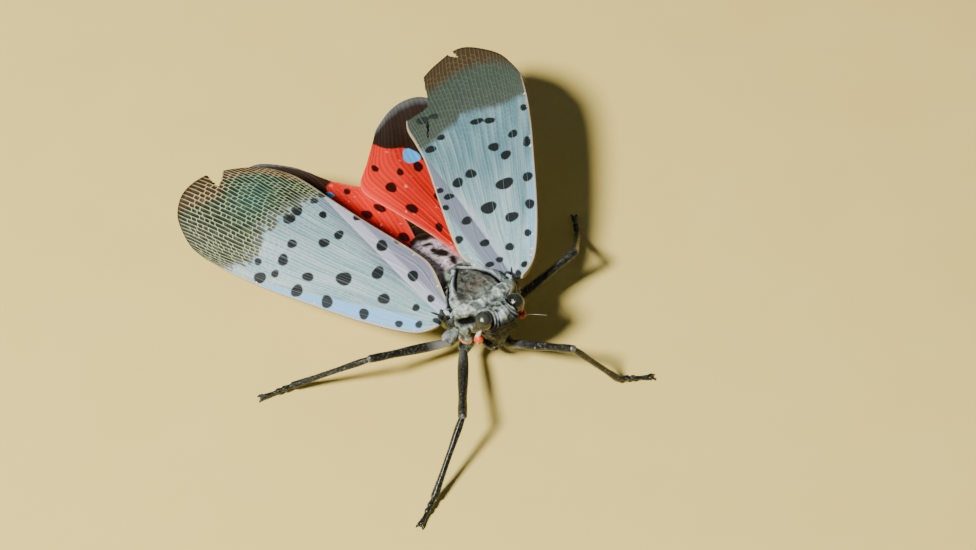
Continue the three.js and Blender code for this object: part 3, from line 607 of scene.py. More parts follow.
HINDWING_SPOTS = {
    "right": [
        (10.5, 5.48, 0.28, 0.3), (7.68, 5.65, 0.5, 0.32), (8.13, 4.6, 0.5, 0.34),
        (4.75, 4.43, 0.5, 0.4), (5.9, 2.6, 0.45, 0.4), (8.6, 2.4, 0.4, 0.4), (3.4, 1.8, 0.35, 0.3),
        (6.6, 0.4, 0.4, 0.35),
    ],
    "left": [
        (10.06, 6.71, 0.36, 0.28), (9.67, 4.86, 0.36, 0.28), (8.16, 5.8, 0.55, 0.42),
        (6.11, 4.54, 0.48, 0.48), (4.31, 2.79, 0.42, 0.3), (10.29, 3.37, 0.6, 0.36),
        (7.3, 2.3, 0.4, 0.4), (5.2, 1.0, 0.4, 0.35),
    ],
}
# Where the red ends, as place along the wing for each place back from its front.
RED_ENDS = {
    "right": [(-1.7, 9.3), (1.5, 10.0), (3.0, 10.6), (4.2, 11.2), (4.9, 11.9), (6.5, 12.3)],
    "left": [(-1.7, 9.2), (1.5, 10.2), (3.08, 11.01), (4.02, 12.25), (4.83, 12.03), (6.23, 12.43)],
}
# The blue-white patch: its place along and back, its half length and width.
PALE_PATCH = {"right": (11.3, 4.45, 0.34, 0.22), "left": (11.38, 3.72, 0.76, 0.68)}
HINDWING_ROWS = 25
HINDWING_HALF_CELLS = 60
HINDWING_VEIN_ROWS = (3, 7, 11, 15, 19, 22)
CROSS_VEINS_FROM = 0.74


def pleated(a, c, s, t):
    """The wing's long pleats and a soft wave."""
    fold = 0.06 * np.sin(t * 12.5) ** 2 * ease(0, 0.3, s)
    return fold + 0.04 * np.sin(a * 1.3 + 3 * t) * s, -0.02 * ease(0.2, 0.6, s)


hindwings = {}
for side, pose in (("right", hindwing_right), ("left", hindwing_left)):
    piece, a, c, s, t = membrane(
        f"hindwing_{side}_membrane", HINDWING[side], pose, HINDWING_ROWS, HINDWING_HALF_CELLS,
        HINDWING_VEIN_ROWS, CROSS_VEINS_FROM, (), pleated)
    a0, c0, ra, rc = PALE_PATCH[side]
    note(piece, "spot", spotted(a, c, HINDWING_SPOTS[side]))
    note(piece, "band", a - placed_at(RED_ENDS[side], c) - 0.10 * np.sin(c * 3.1))
    turn = np.arctan2(c - c0, a - a0)
    wobble = 1 + 0.12 * np.sin(3 * turn + 0.6)
    note(piece, "patch", (1 - np.hypot((a - a0) / ra, (c - c0) / rc) / wobble) * 0.6)
    note(piece, "tip", (1 - s) * (17 if side == "left" else 34))
    # Painted highlight: the rear edge is lifted to pale pink.
    note(piece, "rear", (1 - t) * 8 * ease(0, 0.5, s))
    # Painted light: the rear field's red is brightened, fully on the left wing and a third as much on the
    # right.
    note(piece, "light", ease(3.5, 7.5, c) * (1.0 if side == "left" else 0.35))
    hindwings[side] = close_up(piece)
    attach(piece, "root")
    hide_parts(f"hindwing_{side}")

# Thin chitin coloured through: the red is clear and a little glossy, with
# finer red veins, and the black parts are velvety brown.
red_wing, shader, place = finish_named("Red hind wing membrane")
at = {name: node(red_wing, "Attribute", attribute_name=name) for name in (
    "spot", "vein", "band", "patch", "tip", "rear", "light")}
at["cloud"] = node(red_wing, "TexNoise", {"Vector": place, "Scale": 0.5, "Detail": 3.0})
at["fine"] = node(red_wing, "TexNoise", {"Vector": place, "Scale": 5.0, "Detail": 4.0})
at["speck"] = node(red_wing, "TexNoise", {"Vector": place, "Scale": 1.6, "Detail": 1.0})
whole = node(red_wing, "Mix", {SHARE: at["cloud"], ONE: "#BE0B00", TWO: "#E6230F"}, data_type="RGBA")
brown = node(red_wing, "Mix", {SHARE: at["cloud"], ONE: "#150B04", TWO: "#3A2310"}, data_type="RGBA")
for low, high, start, colour in ((1.0, 4.0, 0.6, "#3B322C"), (0.3, 0.9, 0.9, "#6B7176")):
    share = node(red_wing, "MapRange", {
        VALUE: at["tip"], LOW: low, HIGH: high, TO_LOW: start, TO_HIGH: 0.0})
    brown = node(red_wing, "Mix", {SHARE: share, ONE: brown, TWO: colour}, data_type="RGBA")
for name, low, high, start, end, colour in (
    ("light", 0.0, 1.0, 0.0, 1.0, "#FF3524"),
    ("vein", 0.45, 0.8, 0.0, 0.14, "#F58070"),
    ("speck", 0.69, 0.72, 0.0, 0.5, "#F7A79A"),
    # The pale pink along the rear edge is a painted highlight.
    ("rear", 0.05, 0.3, 0.45, 0.0, "#F2786B"),
    ("spot", -0.04, 0.06, 0.0, 0.97, "#130504"),
    ("band", -0.06, 0.08, 0.0, 1.0, brown),
    ("patch", -0.04, 0.05, 0.0, 1.0, "#4FB4FF"),
):
    share = node(red_wing, "MapRange", {
        VALUE: at[name], LOW: low, HIGH: high, TO_LOW: start, TO_HIGH: end})
    whole = node(red_wing, "Mix", {SHARE: share, ONE: whole, TWO: colour}, data_type="RGBA")
relief = node(red_wing, "Bump", {"Height": at["fine"], "Strength": 0.3, "Distance": 0.00004})
wire(red_wing, shader, {"Base Color": whole, "Roughness": 0.5, "IOR": 1.4, "Normal": relief})
for piece in hindwings.values():
    piece.data.materials.append(red_wing)

# The thorax
# Horny plates under crumpled white wax: a keeled shield on the back, the
# flanks that carry the legs, and a knob of small plates at each wing root.

# Each side, and the sign that X has on it.
SIDES = (("right", -1), ("left", 1))


def grid_piece(name, columns, rows, corners):
    """A grid of corners [row, column, xyz] in millimetres."""
    bpy.ops.object.select_all(action="DESELECT")
    bpy.ops.mesh.primitive_grid_add(x_subdivisions=columns, y_subdivisions=rows, size=2)
    piece = bpy.context.object
    piece.name = piece.data.name = name
    start = np.empty(len(piece.data.vertices) * 3)
    piece.data.vertices.foreach_get("co", start)
    start = start.reshape(-1, 3)
    i = np.rint((start[:, 0] + 1) / 2 * columns).astype(int)
    j = np.rint((start[:, 1] + 1) / 2 * rows).astype(int)
    placed = (corners[j, i] + SHIFT) * MM
    placed[:, 2] = np.maximum(placed[:, 2], 0)
    piece.data.vertices.foreach_set("co", placed.ravel())
    return piece, i, j


# Relief is drawn from three layers, each half as wide as the one before.
LATTICE_WIDTH = 48
LATTICE = np.random.default_rng(11).random((LATTICE_WIDTH,) * 3)
LAYERS = 3
FADE = 0.55


def rough(corners, size):
    """Soft random relief from -1 to 1 whose lumps are that many millimetres wide."""
    total, weight = 0, 0
    for layer in range(LAYERS):
        scaled = corners / (size / 2 ** layer) + 17.3 * layer + 200
        cell = np.floor(scaled).astype(int)
        share = scaled - cell
        share = share * share * (3 - 2 * share)
        level = 0
        for step in np.ndindex(2, 2, 2):
            x, y, z = np.moveaxis((cell + step) % LATTICE_WIDTH, -1, 0)
            level = level + np.where(step, share, 1 - share).prod(-1) * LATTICE[x, y, z]
        total = total + (2 * level - 1) * FADE ** layer
        weight += FADE ** layer
    return total / weight


def crumpled(corners, size):
    """Sharp-edged folds from 0 to 1, that many millimetres apart."""
    return 1 - np.clip(2.2 * np.abs(rough(corners, size)), 0, 1)


def near_line(corners, points, width):
    """1 on a line through the points, and softly down to 0 past the width."""
    points = np.array(points, float)
    nearest = np.full(corners.shape[:-1], 9.0)
    for start, end in zip(points[:-1], points[1:]):
        way = end - start
        share = np.clip(((corners - start) @ way) / (way @ way), 0, 1)
        nearest = np.minimum(nearest, np.linalg.norm(corners - start - share[..., None] * way, axis=-1))
    return bump_at(nearest, width)


def rounded_rings(stations, sides, squareness):
    """Rounded outlines along Y: place, half width, lowest and highest point."""
    y, half, low, high = np.array(stations).T[..., None]
    angle = 2 * np.pi * np.arange(sides + 1) / sides - np.pi / 2
    across, up = np.cos(angle), np.sin(angle)
    power = 2 / squareness
    x = half * np.sign(across) * np.abs(across) ** power
    z = low + (high - low) * (0.5 + 0.5 * np.sign(up) * np.abs(up) ** power)
    return np.stack([x, y + 0 * x, z], -1)


def trunk_rings(stations, rows, sides, squareness, forward=0.0):
    """Outlines evened along a few stations, their upper middle pushed forward."""
    rings = rounded_rings(evened(stations, rows), sides, squareness)
    middle = 1 - np.minimum(1, (rings[..., 0] / 2.7) ** 2)
    rings[..., 1] -= forward * middle * ease(3.2, 5.8, rings[..., 2])
    return rings


def limb_rings(stations, rows, sides, ribs=0, rib_height=0.0):
    """Round outlines through x, y, z, radius, with ribs that run along them."""
    line = evened(stations, rows)
    way = np.gradient(line[:, :3], axis=0)
    way /= np.linalg.norm(way, axis=1)[:, None]
    side = np.cross([0, 0, 1.0], way)
    upright = np.linalg.norm(side, axis=1) < 0.1
    side[upright] = (1, 0, 0)
    side /= np.linalg.norm(side, axis=1)[:, None]
    up = np.cross(way, side)
    angle = 2 * np.pi * np.arange(sides + 1) / sides
    radius = line[:, 3, None] * (1 + rib_height * np.cos(ribs * angle)[None])
    out = np.cos(angle)[:, None] * side[:, None] + np.sin(angle)[:, None] * up[:, None]
    rings = line[:, None, :3] + radius[..., None] * out
    rings[..., 2] = np.maximum(rings[..., 2], 0)
    return rings


# A cap's rings from its tip: their share of the width and of the depth.
CAP = ((0, 1), (0.4, 0.92), (0.75, 0.65))


def cap(last, before, depth):
    """The rings of a rounded cap past the last ring of a row, from its tip."""
    centre = last[:-1].mean(0)
    out = centre - before[:-1].mean(0)
    out = out / max(np.linalg.norm(out), 1e-6) * np.linalg.norm(last[0] - centre) * depth
    return np.stack([centre + (last - centre) * width + out * height for width, height in CAP])


def capped(rings, depth=0.5):
    """Closes both ends of a row of rings with a rounded cap."""
    return np.concatenate([cap(rings[0], rings[1], depth), rings, cap(rings[-1], rings[-2], depth)[::-1]])


def lifted(rings, height):
    """Moves each corner out from its surface by a height in millimetres."""
    along = np.gradient(rings, axis=0)
    wrapped = np.concatenate([rings[:, -2:-1], rings, rings[:, 1:2]], axis=1)
    across = wrapped[:, 2:] - wrapped[:, :-2]
    out = np.cross(across, along)
    out /= np.maximum(np.linalg.norm(out, axis=-1), 1e-9)[..., None]
    away = rings - rings[:, :-1].mean(1)[:, None]
    out *= np.where((out * away).sum((-1, -2)) < 0, -1, 1)[:, None, None]
    return rings + out * height[..., None]


def shell_piece(name, rings, notes):
    """A closed piece from rings. Each note is a number or one value a corner."""
    piece, i, j = grid_piece(name, rings.shape[1] - 1, rings.shape[0] - 1, rings)
    for key, values in notes.items():
        if np.ndim(values):
            caps = (rings.shape[0] - values.shape[0]) // 2
            values = np.pad(values, ((caps, caps), (0, 0)), mode="edge")[j, i]
        note(piece, key, np.clip(values + np.zeros(len(j)), 0, 1))
    return close_up(piece)


def joined(name, pieces):
    """Several pieces as one object."""
    bpy.ops.object.select_all(action="DESELECT")
    for piece in pieces:
        piece.select_set(True)
    bpy.context.view_layer.objects.active = pieces[0]
    if len(pieces) > 1:
        bpy.ops.object.join()
    pieces[0].name = pieces[0].data.name = name
    return pieces[0]


def dressed(piece, material, slot, *nodes):
    """Gives a piece its material and its ride, and hides the nodes it stands for. slot is not used."""
    piece.data.materials.clear()
    piece.data.materials.append(material)
    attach(piece, "root")
    if nodes:
        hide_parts(*nodes)
    return piece


# Cuticle under wax bloom: pale grey-green on the crests of its folds and dark in them, partly real
# wax and partly painted highlight and painted shade, rubbed to brown-grey on the crown of the back, with a
# soft shine.
waxed, shader, place = finish_named("Waxed body cuticle")
at = {
    name: node(waxed, "Attribute", attribute_name=name)
    for name in ("dark", "worn", "pale", "high", "ochre")
}
fine = node(waxed, "TexNoise", {"Vector": place, "Scale": 6.0, "Detail": 5.0, "Roughness": 0.7})
height = node(waxed, "Mix", {"Factor": 0.5, "A": at["high"], "B": fine}).outputs["Result"]
# Painted highlight on the fold crests and painted shade in the creases, over the real wax.
wax_with_painted_relief_light = node(waxed, "ValToRGB", {"Fac": height}, stops=[
    (0.3, "#121411"), (0.43, "#343C38"), (0.54, "#65736C"), (0.66, "#9DAFA9"), (0.76, "#E6F6F4")])
rubbed = node(waxed, "ValToRGB", {"Fac": height}, stops=[
    (0.25, "#11120F"), (0.5, "#2F342F"), (0.75, "#67695F")])
whole = wax_with_painted_relief_light
for name, colour in (("worn", rubbed), ("pale", "#CFE0F2"), ("ochre", "#F08A3C"), ("dark", "#080A0C")):
    whole = node(waxed, "Mix", {SHARE: at[name], ONE: whole, TWO: colour}, data_type="RGBA")
relief = node(waxed, "Bump", {"Height": fine, "Strength": 0.8, "Distance": 0.00014})
sheen = node(waxed, "MapRange", {VALUE: at["dark"], TO_LOW: 0.6, TO_HIGH: 0.08})
wire(waxed, shader, {
    "Base Color": whole, "Roughness": 0.3, "IOR": 1.5, "Specular IOR Level": sheen, "Normal": relief})

# Stations along Y: their place, half width, lowest and highest point.
SHIELD = [
    [0.02, 2.25, 5.4, 7.0], [0.35, 2.42, 5.3, 7.12], [1.2, 2.25, 5.3, 7.14], [2.1, 1.6, 5.4, 7.0],
    [2.8, 0.95, 5.75, 6.77], [3.35, 0.42, 5.95, 6.5], [3.62, 0.22, 6.05, 6.33],
]
FLANK = [
    [-0.3, 2.0, 3.0, 6.0], [0.3, 2.6, 2.72, 6.4], [1.2, 2.7, 2.6, 6.4], [2.0, 2.6, 2.65, 6.1],
    [2.7, 2.3, 2.6, 5.6], [3.4, 2.35, 2.42, 5.6], [3.75, 2.1, 2.5, 5.4],
]
# The gap that runs between each forewing's foot and the back, painted black as shade.
GAP = [
    [0.5, 3.3, 5.6], [1.3, 2.2, 6.4], [1.95, 1.1, 6.65], [2.3, 0.6, 6.45], [2.53, 0.15, 6.25],
    [2.55, 0.0, 6.2],
]
GAP_WIDTH = 0.14
# Places along Y on each side, and how far from the middle the furrow runs.
FURROW_RIGHT = ([-0.9, 0.2, 0.9, 1.5, 2.2, 2.6], [2.0, 1.75, 1.4, 0.98, 0.35, 0])
FURROW_LEFT = ([-0.9, -0.2, 0.6, 1.5, 2.2, 2.6], [1.6, 1.48, 1.34, 0.84, 0.3, 0])


def shield_piece():
    """The back's shield: its keels, its furrow and rim, and its folds."""
    rings = trunk_rings(SHIELD, 150, 190, 2.5, forward=0.7)
    x, y, z = rings[..., 0], rings[..., 1], rings[..., 2]
    top = ease(6.0, 6.7, z)
    path = np.where(x < 0, np.interp(y, *FURROW_RIGHT), np.interp(y, *FURROW_LEFT))
    path = path + 0.06 * rough(rings, 0.5)
    past = np.abs(x) - path
    furrow = bump_at(past, 0.16) * top * ease(2.9, 2.5, y) * np.where(x < 0, ease(0.4, 1.2, y), 1)
    rim = bump_at(past - 0.27, 0.09) * top * ease(-0.3, 0.8, y)
    keel = bump_at(x, 0.1) + bump_at(np.abs(x) - 0.55 * path, 0.09)
    # Painted shade along the gap.
    shaded_gap = near_line(np.abs(rings), GAP, GAP_WIDTH)
    outside = ease(0.0, 0.12, past)
    folds = crumpled(rings, 0.55)
    small = 0.5 + 0.5 * rough(rings, 0.2)
    height = 0.05 * keel * top + 0.1 * rim - 0.17 * furrow - 0.15 * shaded_gap + 0.09 * folds + 0.05 * small
    height = height - 0.06 * outside * top
    worn = (1 - outside) * ease(-1.1, 0.5, y + 0.3 * folds) * top * (0.65 + 0.35 * folds)
    spot = near_line(rings, [[-1.52, 0.18, 6.95], [-1.45, -0.05, 6.95]], 0.22)
    return shell_piece("back_shield", capped(lifted(rings, height), 0.2), {
        "dark": 2.0 * furrow + 1.8 * shaded_gap + 0.95 * ease(6.35, 6.05, z) + 0.9 * spot,
        "worn": worn + spot,
        "pale": (0.75 * rim + 0.15 * outside * top) * (0.25 + 0.75 * ease(0.1, 0.6, folds)),
        "high": 0.15 + 0.5 * folds + 0.35 * small,
        "ochre": 0.035 * near_line(rings, [[-0.4, 0.1, 7.2], [0.1, 0.3, 7.2]], 0.5),
    })


def flank_piece():
    """The flanks, with the dark seams between their plates."""
    rings = trunk_rings(FLANK, 110, 130, 2.6)
    y, z = rings[..., 1], rings[..., 2]
    seams = bump_at(y - (0.9 + 0.25 * (z - 4)), 0.10) + bump_at(y - (2.35 - 0.2 * (z - 4)), 0.10)
    seams = np.clip(seams + 0.8 * bump_at(z - 4.6 - 0.15 * np.sin(2 * y), 0.09), 0, 1)
    folds = crumpled(rings, 0.7)
    height = 0.1 * folds + 0.04 * crumpled(rings, 0.28) - 0.12 * seams
    # Painted shade: the upper flanks under the wing roots are darkened.
    dark = 0.85 * seams + 0.5 * ease(5.4, 6.0, z)
    return shell_piece("flanks", capped(lifted(rings, height), 0.2), {
        "dark": dark, "worn": 0.2, "pale": 0, "high": 0.2 + 0.65 * folds})


def pebble(name, centre, radii, dark=0.0, worn=0.0, pale=0.0, ochre=0.0, bumpy=0.1, turn=0.0, sides=28):
    """A rounded crumpled plate or lobe."""
    up = np.linspace(-np.pi / 2, np.pi / 2, sides // 2 + 1)[:, None]
    about = np.linspace(0, 2 * np.pi, sides + 1)[None]
    ball = np.stack([np.cos(up) * np.cos(about), np.cos(up) * np.sin(about), np.sin(up) + 0 * about], -1)
    ball[:, -1] = ball[:, 0]
    body = ball * np.array(radii)
    folds = crumpled(body + np.array(centre) * 3, 0.5)
    body *= (1 + bumpy * (2 * folds - 1))[..., None]
    body[:, -1] = body[:, 0]
    spin = np.array(Matrix.Rotation(math.radians(turn), 3, "Z"))
    rings = body @ spin.T + np.array(centre)
    # Pieces under the gap get its painted shade too.
    return shell_piece(name, rings, {
        "dark": dark + 1.2 * near_line(np.abs(rings), GAP, GAP_WIDTH), "worn": worn, "pale": pale,
        "high": 0.2 + 0.6 * folds, "ochre": ochre * bump_at(ball[..., 2] + 0.1, 0.22)})


# The knobs at a wing root: place, half sizes, how dark and how pale they are. The low knob at 2.78, -0.5,
# 5.6 is dark as painted shade.
KNOBS = [
    ([2.5, -0.05, 5.85], [0.46, 0.5, 0.4], 0.1, 0.3), ([2.95, 0.42, 5.95], [0.24, 0.3, 0.2], 0.8, 0.0),
    ([2.78, 0.12, 6.12], [0.2, 0.26, 0.14], 0.0, 0.8), ([2.78, -0.5, 5.6], [0.36, 0.3, 0.42], 0.75, 0.0),
    ([2.98, -0.2, 6.0], [0.2, 0.2, 0.16], 0.85, 0.0), ([2.3, -0.1, 4.6], [0.55, 0.6, 0.7], 0.3, 0.0),
]
# The two flaps below them, that sit further back and lower on the left.
FLAPS = [
    ([2.8, -0.72, 4.55], [0.8, 0.36, 0.26], 0.1, 0.1), ([3.35, -0.5, 4.5], [0.5, 0.26, 0.18], 0.0, 0.3),
]
FLAP_MOVE_LEFT = np.array([0, 0.75, -0.2])

thorax_parts = [shield_piece(), flank_piece()]
for side in (-1, 1):
    for centre, radii, dark, pale in KNOBS:
        centre = centre * np.array([side, 1, 1])
        thorax_parts.append(pebble("knob", centre, radii, dark=dark, pale=pale, bumpy=0.16, sides=40))
    for centre, radii, dark, pale in FLAPS:
        centre = centre * np.array([side, 1, 1]) + FLAP_MOVE_LEFT * (side > 0)
        thorax_parts.append(pebble(
            "flap", centre, radii, dark=dark, worn=0.3, pale=pale, bumpy=0.06, turn=-28 * side, sides=40))
thorax = joined("thorax_shell", thorax_parts)
dressed(thorax, waxed, "waxy_shell", "mesothorax", "metathorax")

# The collar
# The first ring of the thorax, a crumpled collar with a keel and two pits,
# and lobes that hang down behind the eyes.
COLLAR = [
    [-1.35, 1.7, 4.4, 6.7], [-1.05, 2.25, 4.2, 7.0], [-0.9, 2.58, 4.1, 7.18], [-0.55, 2.74, 4.0, 7.28],
    [-0.28, 2.72, 4.0, 7.24], [-0.05, 2.5, 4.1, 7.05],
]
NECK = [[-1.75, 0.95, 4.0, 5.4], [-1.2, 1.5, 3.5, 5.8], [-0.5, 2.1, 3.2, 6.0], [0.1, 2.1, 3.2, 6.0]]


def collar_piece():
    """The ring with its keels, the hollow beside each wing and the two pits."""
    rings = trunk_rings(COLLAR, 80, 190, 2.5, forward=0.7)
    x, y, z = rings[..., 0], rings[..., 1], rings[..., 2]
    top = ease(6.2, 6.9, z)
    keel = bump_at(x, 0.09) * top + 0.7 * bump_at(np.abs(x) - 0.75, 0.1) * top
    hollow = near_line(np.abs(rings), [[2.34, 1.1, 6.05], [1.85, 1.45, 6.2]], 0.36)
    pit = near_line(np.abs(rings), [[0.35, 1.5, 7.1], [0.42, 1.62, 7.05]], 0.12)
    folds = crumpled(rings, 0.6)
    small = 0.5 + 0.6 * rough(rings, 0.2)
    height = 0.07 * keel - 0.1 * pit - 0.16 * hollow + 0.1 * folds + 0.05 * small
    return shell_piece("collar_ring", capped(lifted(rings, height), 0.1), {
        "dark": 0.9 * pit + 1.8 * hollow, "worn": 0.05, "pale": 0.05 * top,
        "high": 0.25 + 0.45 * folds + 0.35 * small})


neck_rings = capped(trunk_rings(NECK, 20, 60, 2.3), 0.2)
neck = shell_piece("neck", neck_rings, {"dark": 1, "worn": 1, "pale": 0, "high": 0.4})
collar_parts = [collar_piece(), neck]
for side in (-1, 1):
    collar_parts.append(pebble("lobe", [2.25 * side, -1.15, 5.1], [0.42, 0.62, 0.7], worn=0.1, sides=44))
for side in (-1, 1):
    collar_parts.append(pebble("lobe", [2.2 * side, -1.3, 4.35], [0.45, 0.6, 0.5], ochre=0.8, sides=44))
collar = joined("collar", collar_parts)
dressed(collar, waxed, "waxy_shell", "pronotum")

# The head
# A short broad head: a crown with raised edges, a long keeled face that
# slopes back to the beak, and folds that ring the large eyes.
EYE_CENTRE = np.array([1.4, -2.42, 6.66])
EYE_RADIUS = 0.7
CROWN = [
    [-3.36, 0.45, 5.9, 6.42], [-3.2, 0.9, 5.35, 6.74], [-2.95, 1.12, 4.8, 6.95], [-2.55, 1.28, 4.2, 7.08],
    [-2.2, 1.32, 3.9, 7.12], [-1.8, 1.28, 3.95, 7.05], [-1.5, 1.1, 4.2, 6.8],
]
# Stations of a limb or of the face: X, Y, Z and radius.
FACE = [[0, -2.57, 5.5, 0.58], [0, -2.55, 4.7, 0.58], [0, -2.46, 3.95, 0.48], [0, -2.34, 3.3, 0.38],
        [0, -2.22, 2.85, 0.28]]


def crown_piece():
    """The top of the head: rings of folds round the eyes, keels and pits."""
    rings = trunk_rings(CROWN, 130, 190, 2.4)
    x, y, z = rings[..., 0], rings[..., 1], rings[..., 2]
    mirrored = np.stack([np.abs(x), y, z], -1)
    far = np.linalg.norm(mirrored - EYE_CENTRE, axis=-1)
    front = ease(-2.2, -2.7, y)
    wrinkles = 0.8 * bump_at(far - 1.02, 0.05) + 0.6 * bump_at(far - 1.2, 0.05)
    orbit = bump_at(far - 0.84, 0.06) + wrinkles * front
    trough = (bump_at(far - 0.93, 0.035) + bump_at(far - 1.11, 0.035)) * front + bump_at(far - 0.74, 0.05)
    edge = bump_at(np.abs(x) - 0.72, 0.08) * ease(-2.5, -2.8, y) + bump_at(x, 0.08) * ease(-2.2, -2.6, y)
    brow = bump_at(z - 6.5, 0.1) * ease(-2.9, -3.2, y)
    pits = near_line(rings, [[-0.28, -1.96, 7.1], [-0.2, -2.02, 7.1]], 0.11)
    pits = pits + near_line(rings, [[-0.3, -2.5, 7.1], [-0.24, -2.6, 7.1]], 0.11)
    bright = near_line(rings, [[-0.35, -2.95, 6.9], [-0.05, -2.75, 7.0]], 0.2)
    folds = crumpled(rings, 0.55)
    small = 0.5 + 0.6 * rough(rings, 0.2)
    height = 0.08 * orbit + 0.09 * edge + 0.1 * brow + 0.09 * folds + 0.04 * small - 0.1 * pits
    height = height - 0.12 * ease(0.75, 0.62, far)
    # Painted shade: the crown's front underside and its lowest part are darkened, as the cheeks are.
    snout = ease(6.85, 6.5, z) * ease(-2.75, -3.05, y)
    return shell_piece("crown", capped(lifted(rings, height), 0.3), {
        "dark": 0.9 * trough + 0.9 * snout + 0.6 * ease(5.6, 5.0, z) + 0.9 * pits,
        "worn": 0.25 + 0.4 * ease(6.9, 6.4, z), "pale": 0.8 * bright + 0.2 * orbit + 0.25 * brow,
        "high": 0.15 + 0.5 * folds + 0.35 * small})


def face_piece():
    """The long face under the crown, with its three keels, darkened nearly to black as painted shade."""
    rings = limb_rings(FACE, 70, 90)
    x, z = rings[..., 0], rings[..., 2]
    keels = bump_at(x, 0.05) + bump_at(np.abs(x) - 0.3, 0.05)
    folds = crumpled(rings, 0.35)
    rings = capped(lifted(rings, 0.05 * keels + 0.05 * folds), 0.6)
    return shell_piece("face", rings, {
        "dark": 0.8 + 0.1 * ease(4.5, 3.2, z), "worn": 0.7, "pale": 0.3 * keels,
        "high": 0.2 + 0.6 * folds})


head_parts = [crown_piece(), face_piece()]
for side in (-1, 1):
    # Painted shade darkens the cheeks.
    head_parts.append(pebble("cheek", [1.15 * side, -2.4, 5.55], [0.42, 0.4, 0.55], dark=0.7, sides=40))
head = joined("head_capsule", head_parts)
dressed(head, waxed, "waxy_shell", "head")

# The eyes
# Compound eyes, two domes of many clear facets that sit in the head's folds.
# Glossy and grey-green, with darker rings; painted light makes the upper side pale and the foot nearly
# black, and the left eye gets less of it as painted shade.
eye_glaze, shader, place = finish_named("Faceted eye")
facets = node(eye_glaze, "TexVoronoi", {"Vector": place, "Scale": 16.0})
shade = node(eye_glaze, "Attribute", attribute_name="crest")
eye_grey = node(eye_glaze, "ValToRGB", {"Fac": shade}, stops=[
    (0.0, "#080806"), (0.35, "#171813"), (0.55, "#30342D"), (0.75, "#4C544C"), (1.0, "#76827A")])
relief = node(eye_glaze, "Bump", {"Height": facets, "Strength": 0.5, "Distance": 0.00003}, invert=True)
wire(eye_glaze, shader, {
    "Base Color": eye_grey, "Roughness": 0.12, "IOR": 1.5, "Coat Weight": 0.5, "Coat Roughness": 0.08,
    "Normal": relief})

EYE_PAINTED_LIGHT = {"right": 0.62, "left": 0.5}
for name, side in SIDES:
    centre = EYE_CENTRE * np.array([side, 1, 1])
    radii = [0.95 * EYE_RADIUS, EYE_RADIUS, EYE_RADIUS]
    eye = pebble(f"eye_{name}_dome", centre, radii, bumpy=0.0, sides=64)
    corners = np.empty(len(eye.data.vertices) * 3)
    eye.data.vertices.foreach_get("co", corners)
    corners = corners.reshape(-1, 3) / MM - SHIFT - centre
    # Painted light: pale on the upper side, nearly black at the foot.
    upward = corners @ np.array([0.35 * side, -0.25, 0.9]) / EYE_RADIUS
    bands = 0.12 * np.sin(26 * np.arctan2(upward, 1.0)) * (upward < 0.75)
    note(eye, "crest", ease(-0.1, 1.0, upward) * EYE_PAINTED_LIGHT[name] + bands)
    dressed(eye, eye_glaze, "eye", f"eye_{name}")

# The feelers
# Each is a swollen bulb of thin red-orange skin set with pale pits, on a
# short stalk under the eye, with one fine pale bristle. Waxy, with a shine.
feeler_red, shader, place = finish_named("Orange feeler bulb")
pores = node(feeler_red, "TexVoronoi", {"Vector": place, "Scale": 9.0})
pored = node(feeler_red, "MapRange", {VALUE: pores, LOW: 0.1, HIGH: 0.22, TO_LOW: 0.35, TO_HIGH: 0.0})
deep = node(feeler_red, "Attribute", attribute_name="deep")
# Painted shade: the left feeler's red is darkened.
orange = node(feeler_red, "Mix", {SHARE: deep, ONE: "#EE4A14", TWO: "#8A0B10"}, data_type="RGBA")
orange = node(feeler_red, "Mix", {SHARE: pored, ONE: orange, TWO: "#F6A384"}, data_type="RGBA")
chalky = node(feeler_red, "Attribute", attribute_name="chalky")
orange = node(feeler_red, "Mix", {SHARE: chalky, ONE: orange, TWO: "#D8DAD2"}, data_type="RGBA")
relief = node(feeler_red, "Bump", {"Height": pores, "Strength": 0.5, "Distance": 0.00004})
wire(feeler_red, shader, {"Base Color": orange, "Roughness": 0.35, "IOR": 1.5, "Normal": relief})

# The left bulb's middle and half sizes, and stations from its middle: X, Y, Z
# and radius.
FEELER = np.array([1.92, -2.5, 5.05])
BULB = [0.34, 0.34, 0.36]
STALK = [[0, 0.12, 0.2, 0.2], [0, 0.02, 0.5, 0.17], [0, -0.12, 0.85, 0.11], [-0.03, -0.26, 1.2, 0.02]]
BRISTLE = [
    [0.2, -0.2, 0, 0.07], [0.45, -0.4, 0.03, 0.03], [0.9, -0.75, 0.02, 0.018], [1.4, -1.15, -0.04, 0.01],
]
# How chalky each side's bulb, stalk and bristle are, and how much painted shade darkens their red.
CHALK = {"right": (0.0, 0.9, 0.6), "left": (0.0, 0.1, 0.6)}
LEFT_FEELER_PAINTED_SHADE = {"right": 0, "left": 1}


def stations_from(root, stations, side):
    """Stations given from a root, with their X turned to that side."""
    return [[*(root + np.array([x * side, y, z])), radius] for x, y, z, radius in stations]


for name, side in SIDES:
    bulb = FEELER * np.array([side, 1, 1])
    parts = [pebble("bulb", bulb, BULB, bumpy=0.03, sides=32)]
    for stations in (STALK, BRISTLE):
        rings = capped(limb_rings(stations_from(bulb, stations, side), 24, 12))
        parts.append(shell_piece("stalk", rings, {}))
    for part, chalk in zip(parts, CHALK[name]):
        note(part, "chalky", np.full(len(part.data.vertices), chalk))
        note(part, "deep", np.full(len(part.data.vertices), float(LEFT_FEELER_PAINTED_SHADE[name])))
    dressed(joined(f"feeler_{name}_bulb", parts), feeler_red, "feeler", f"antenna_{name}")

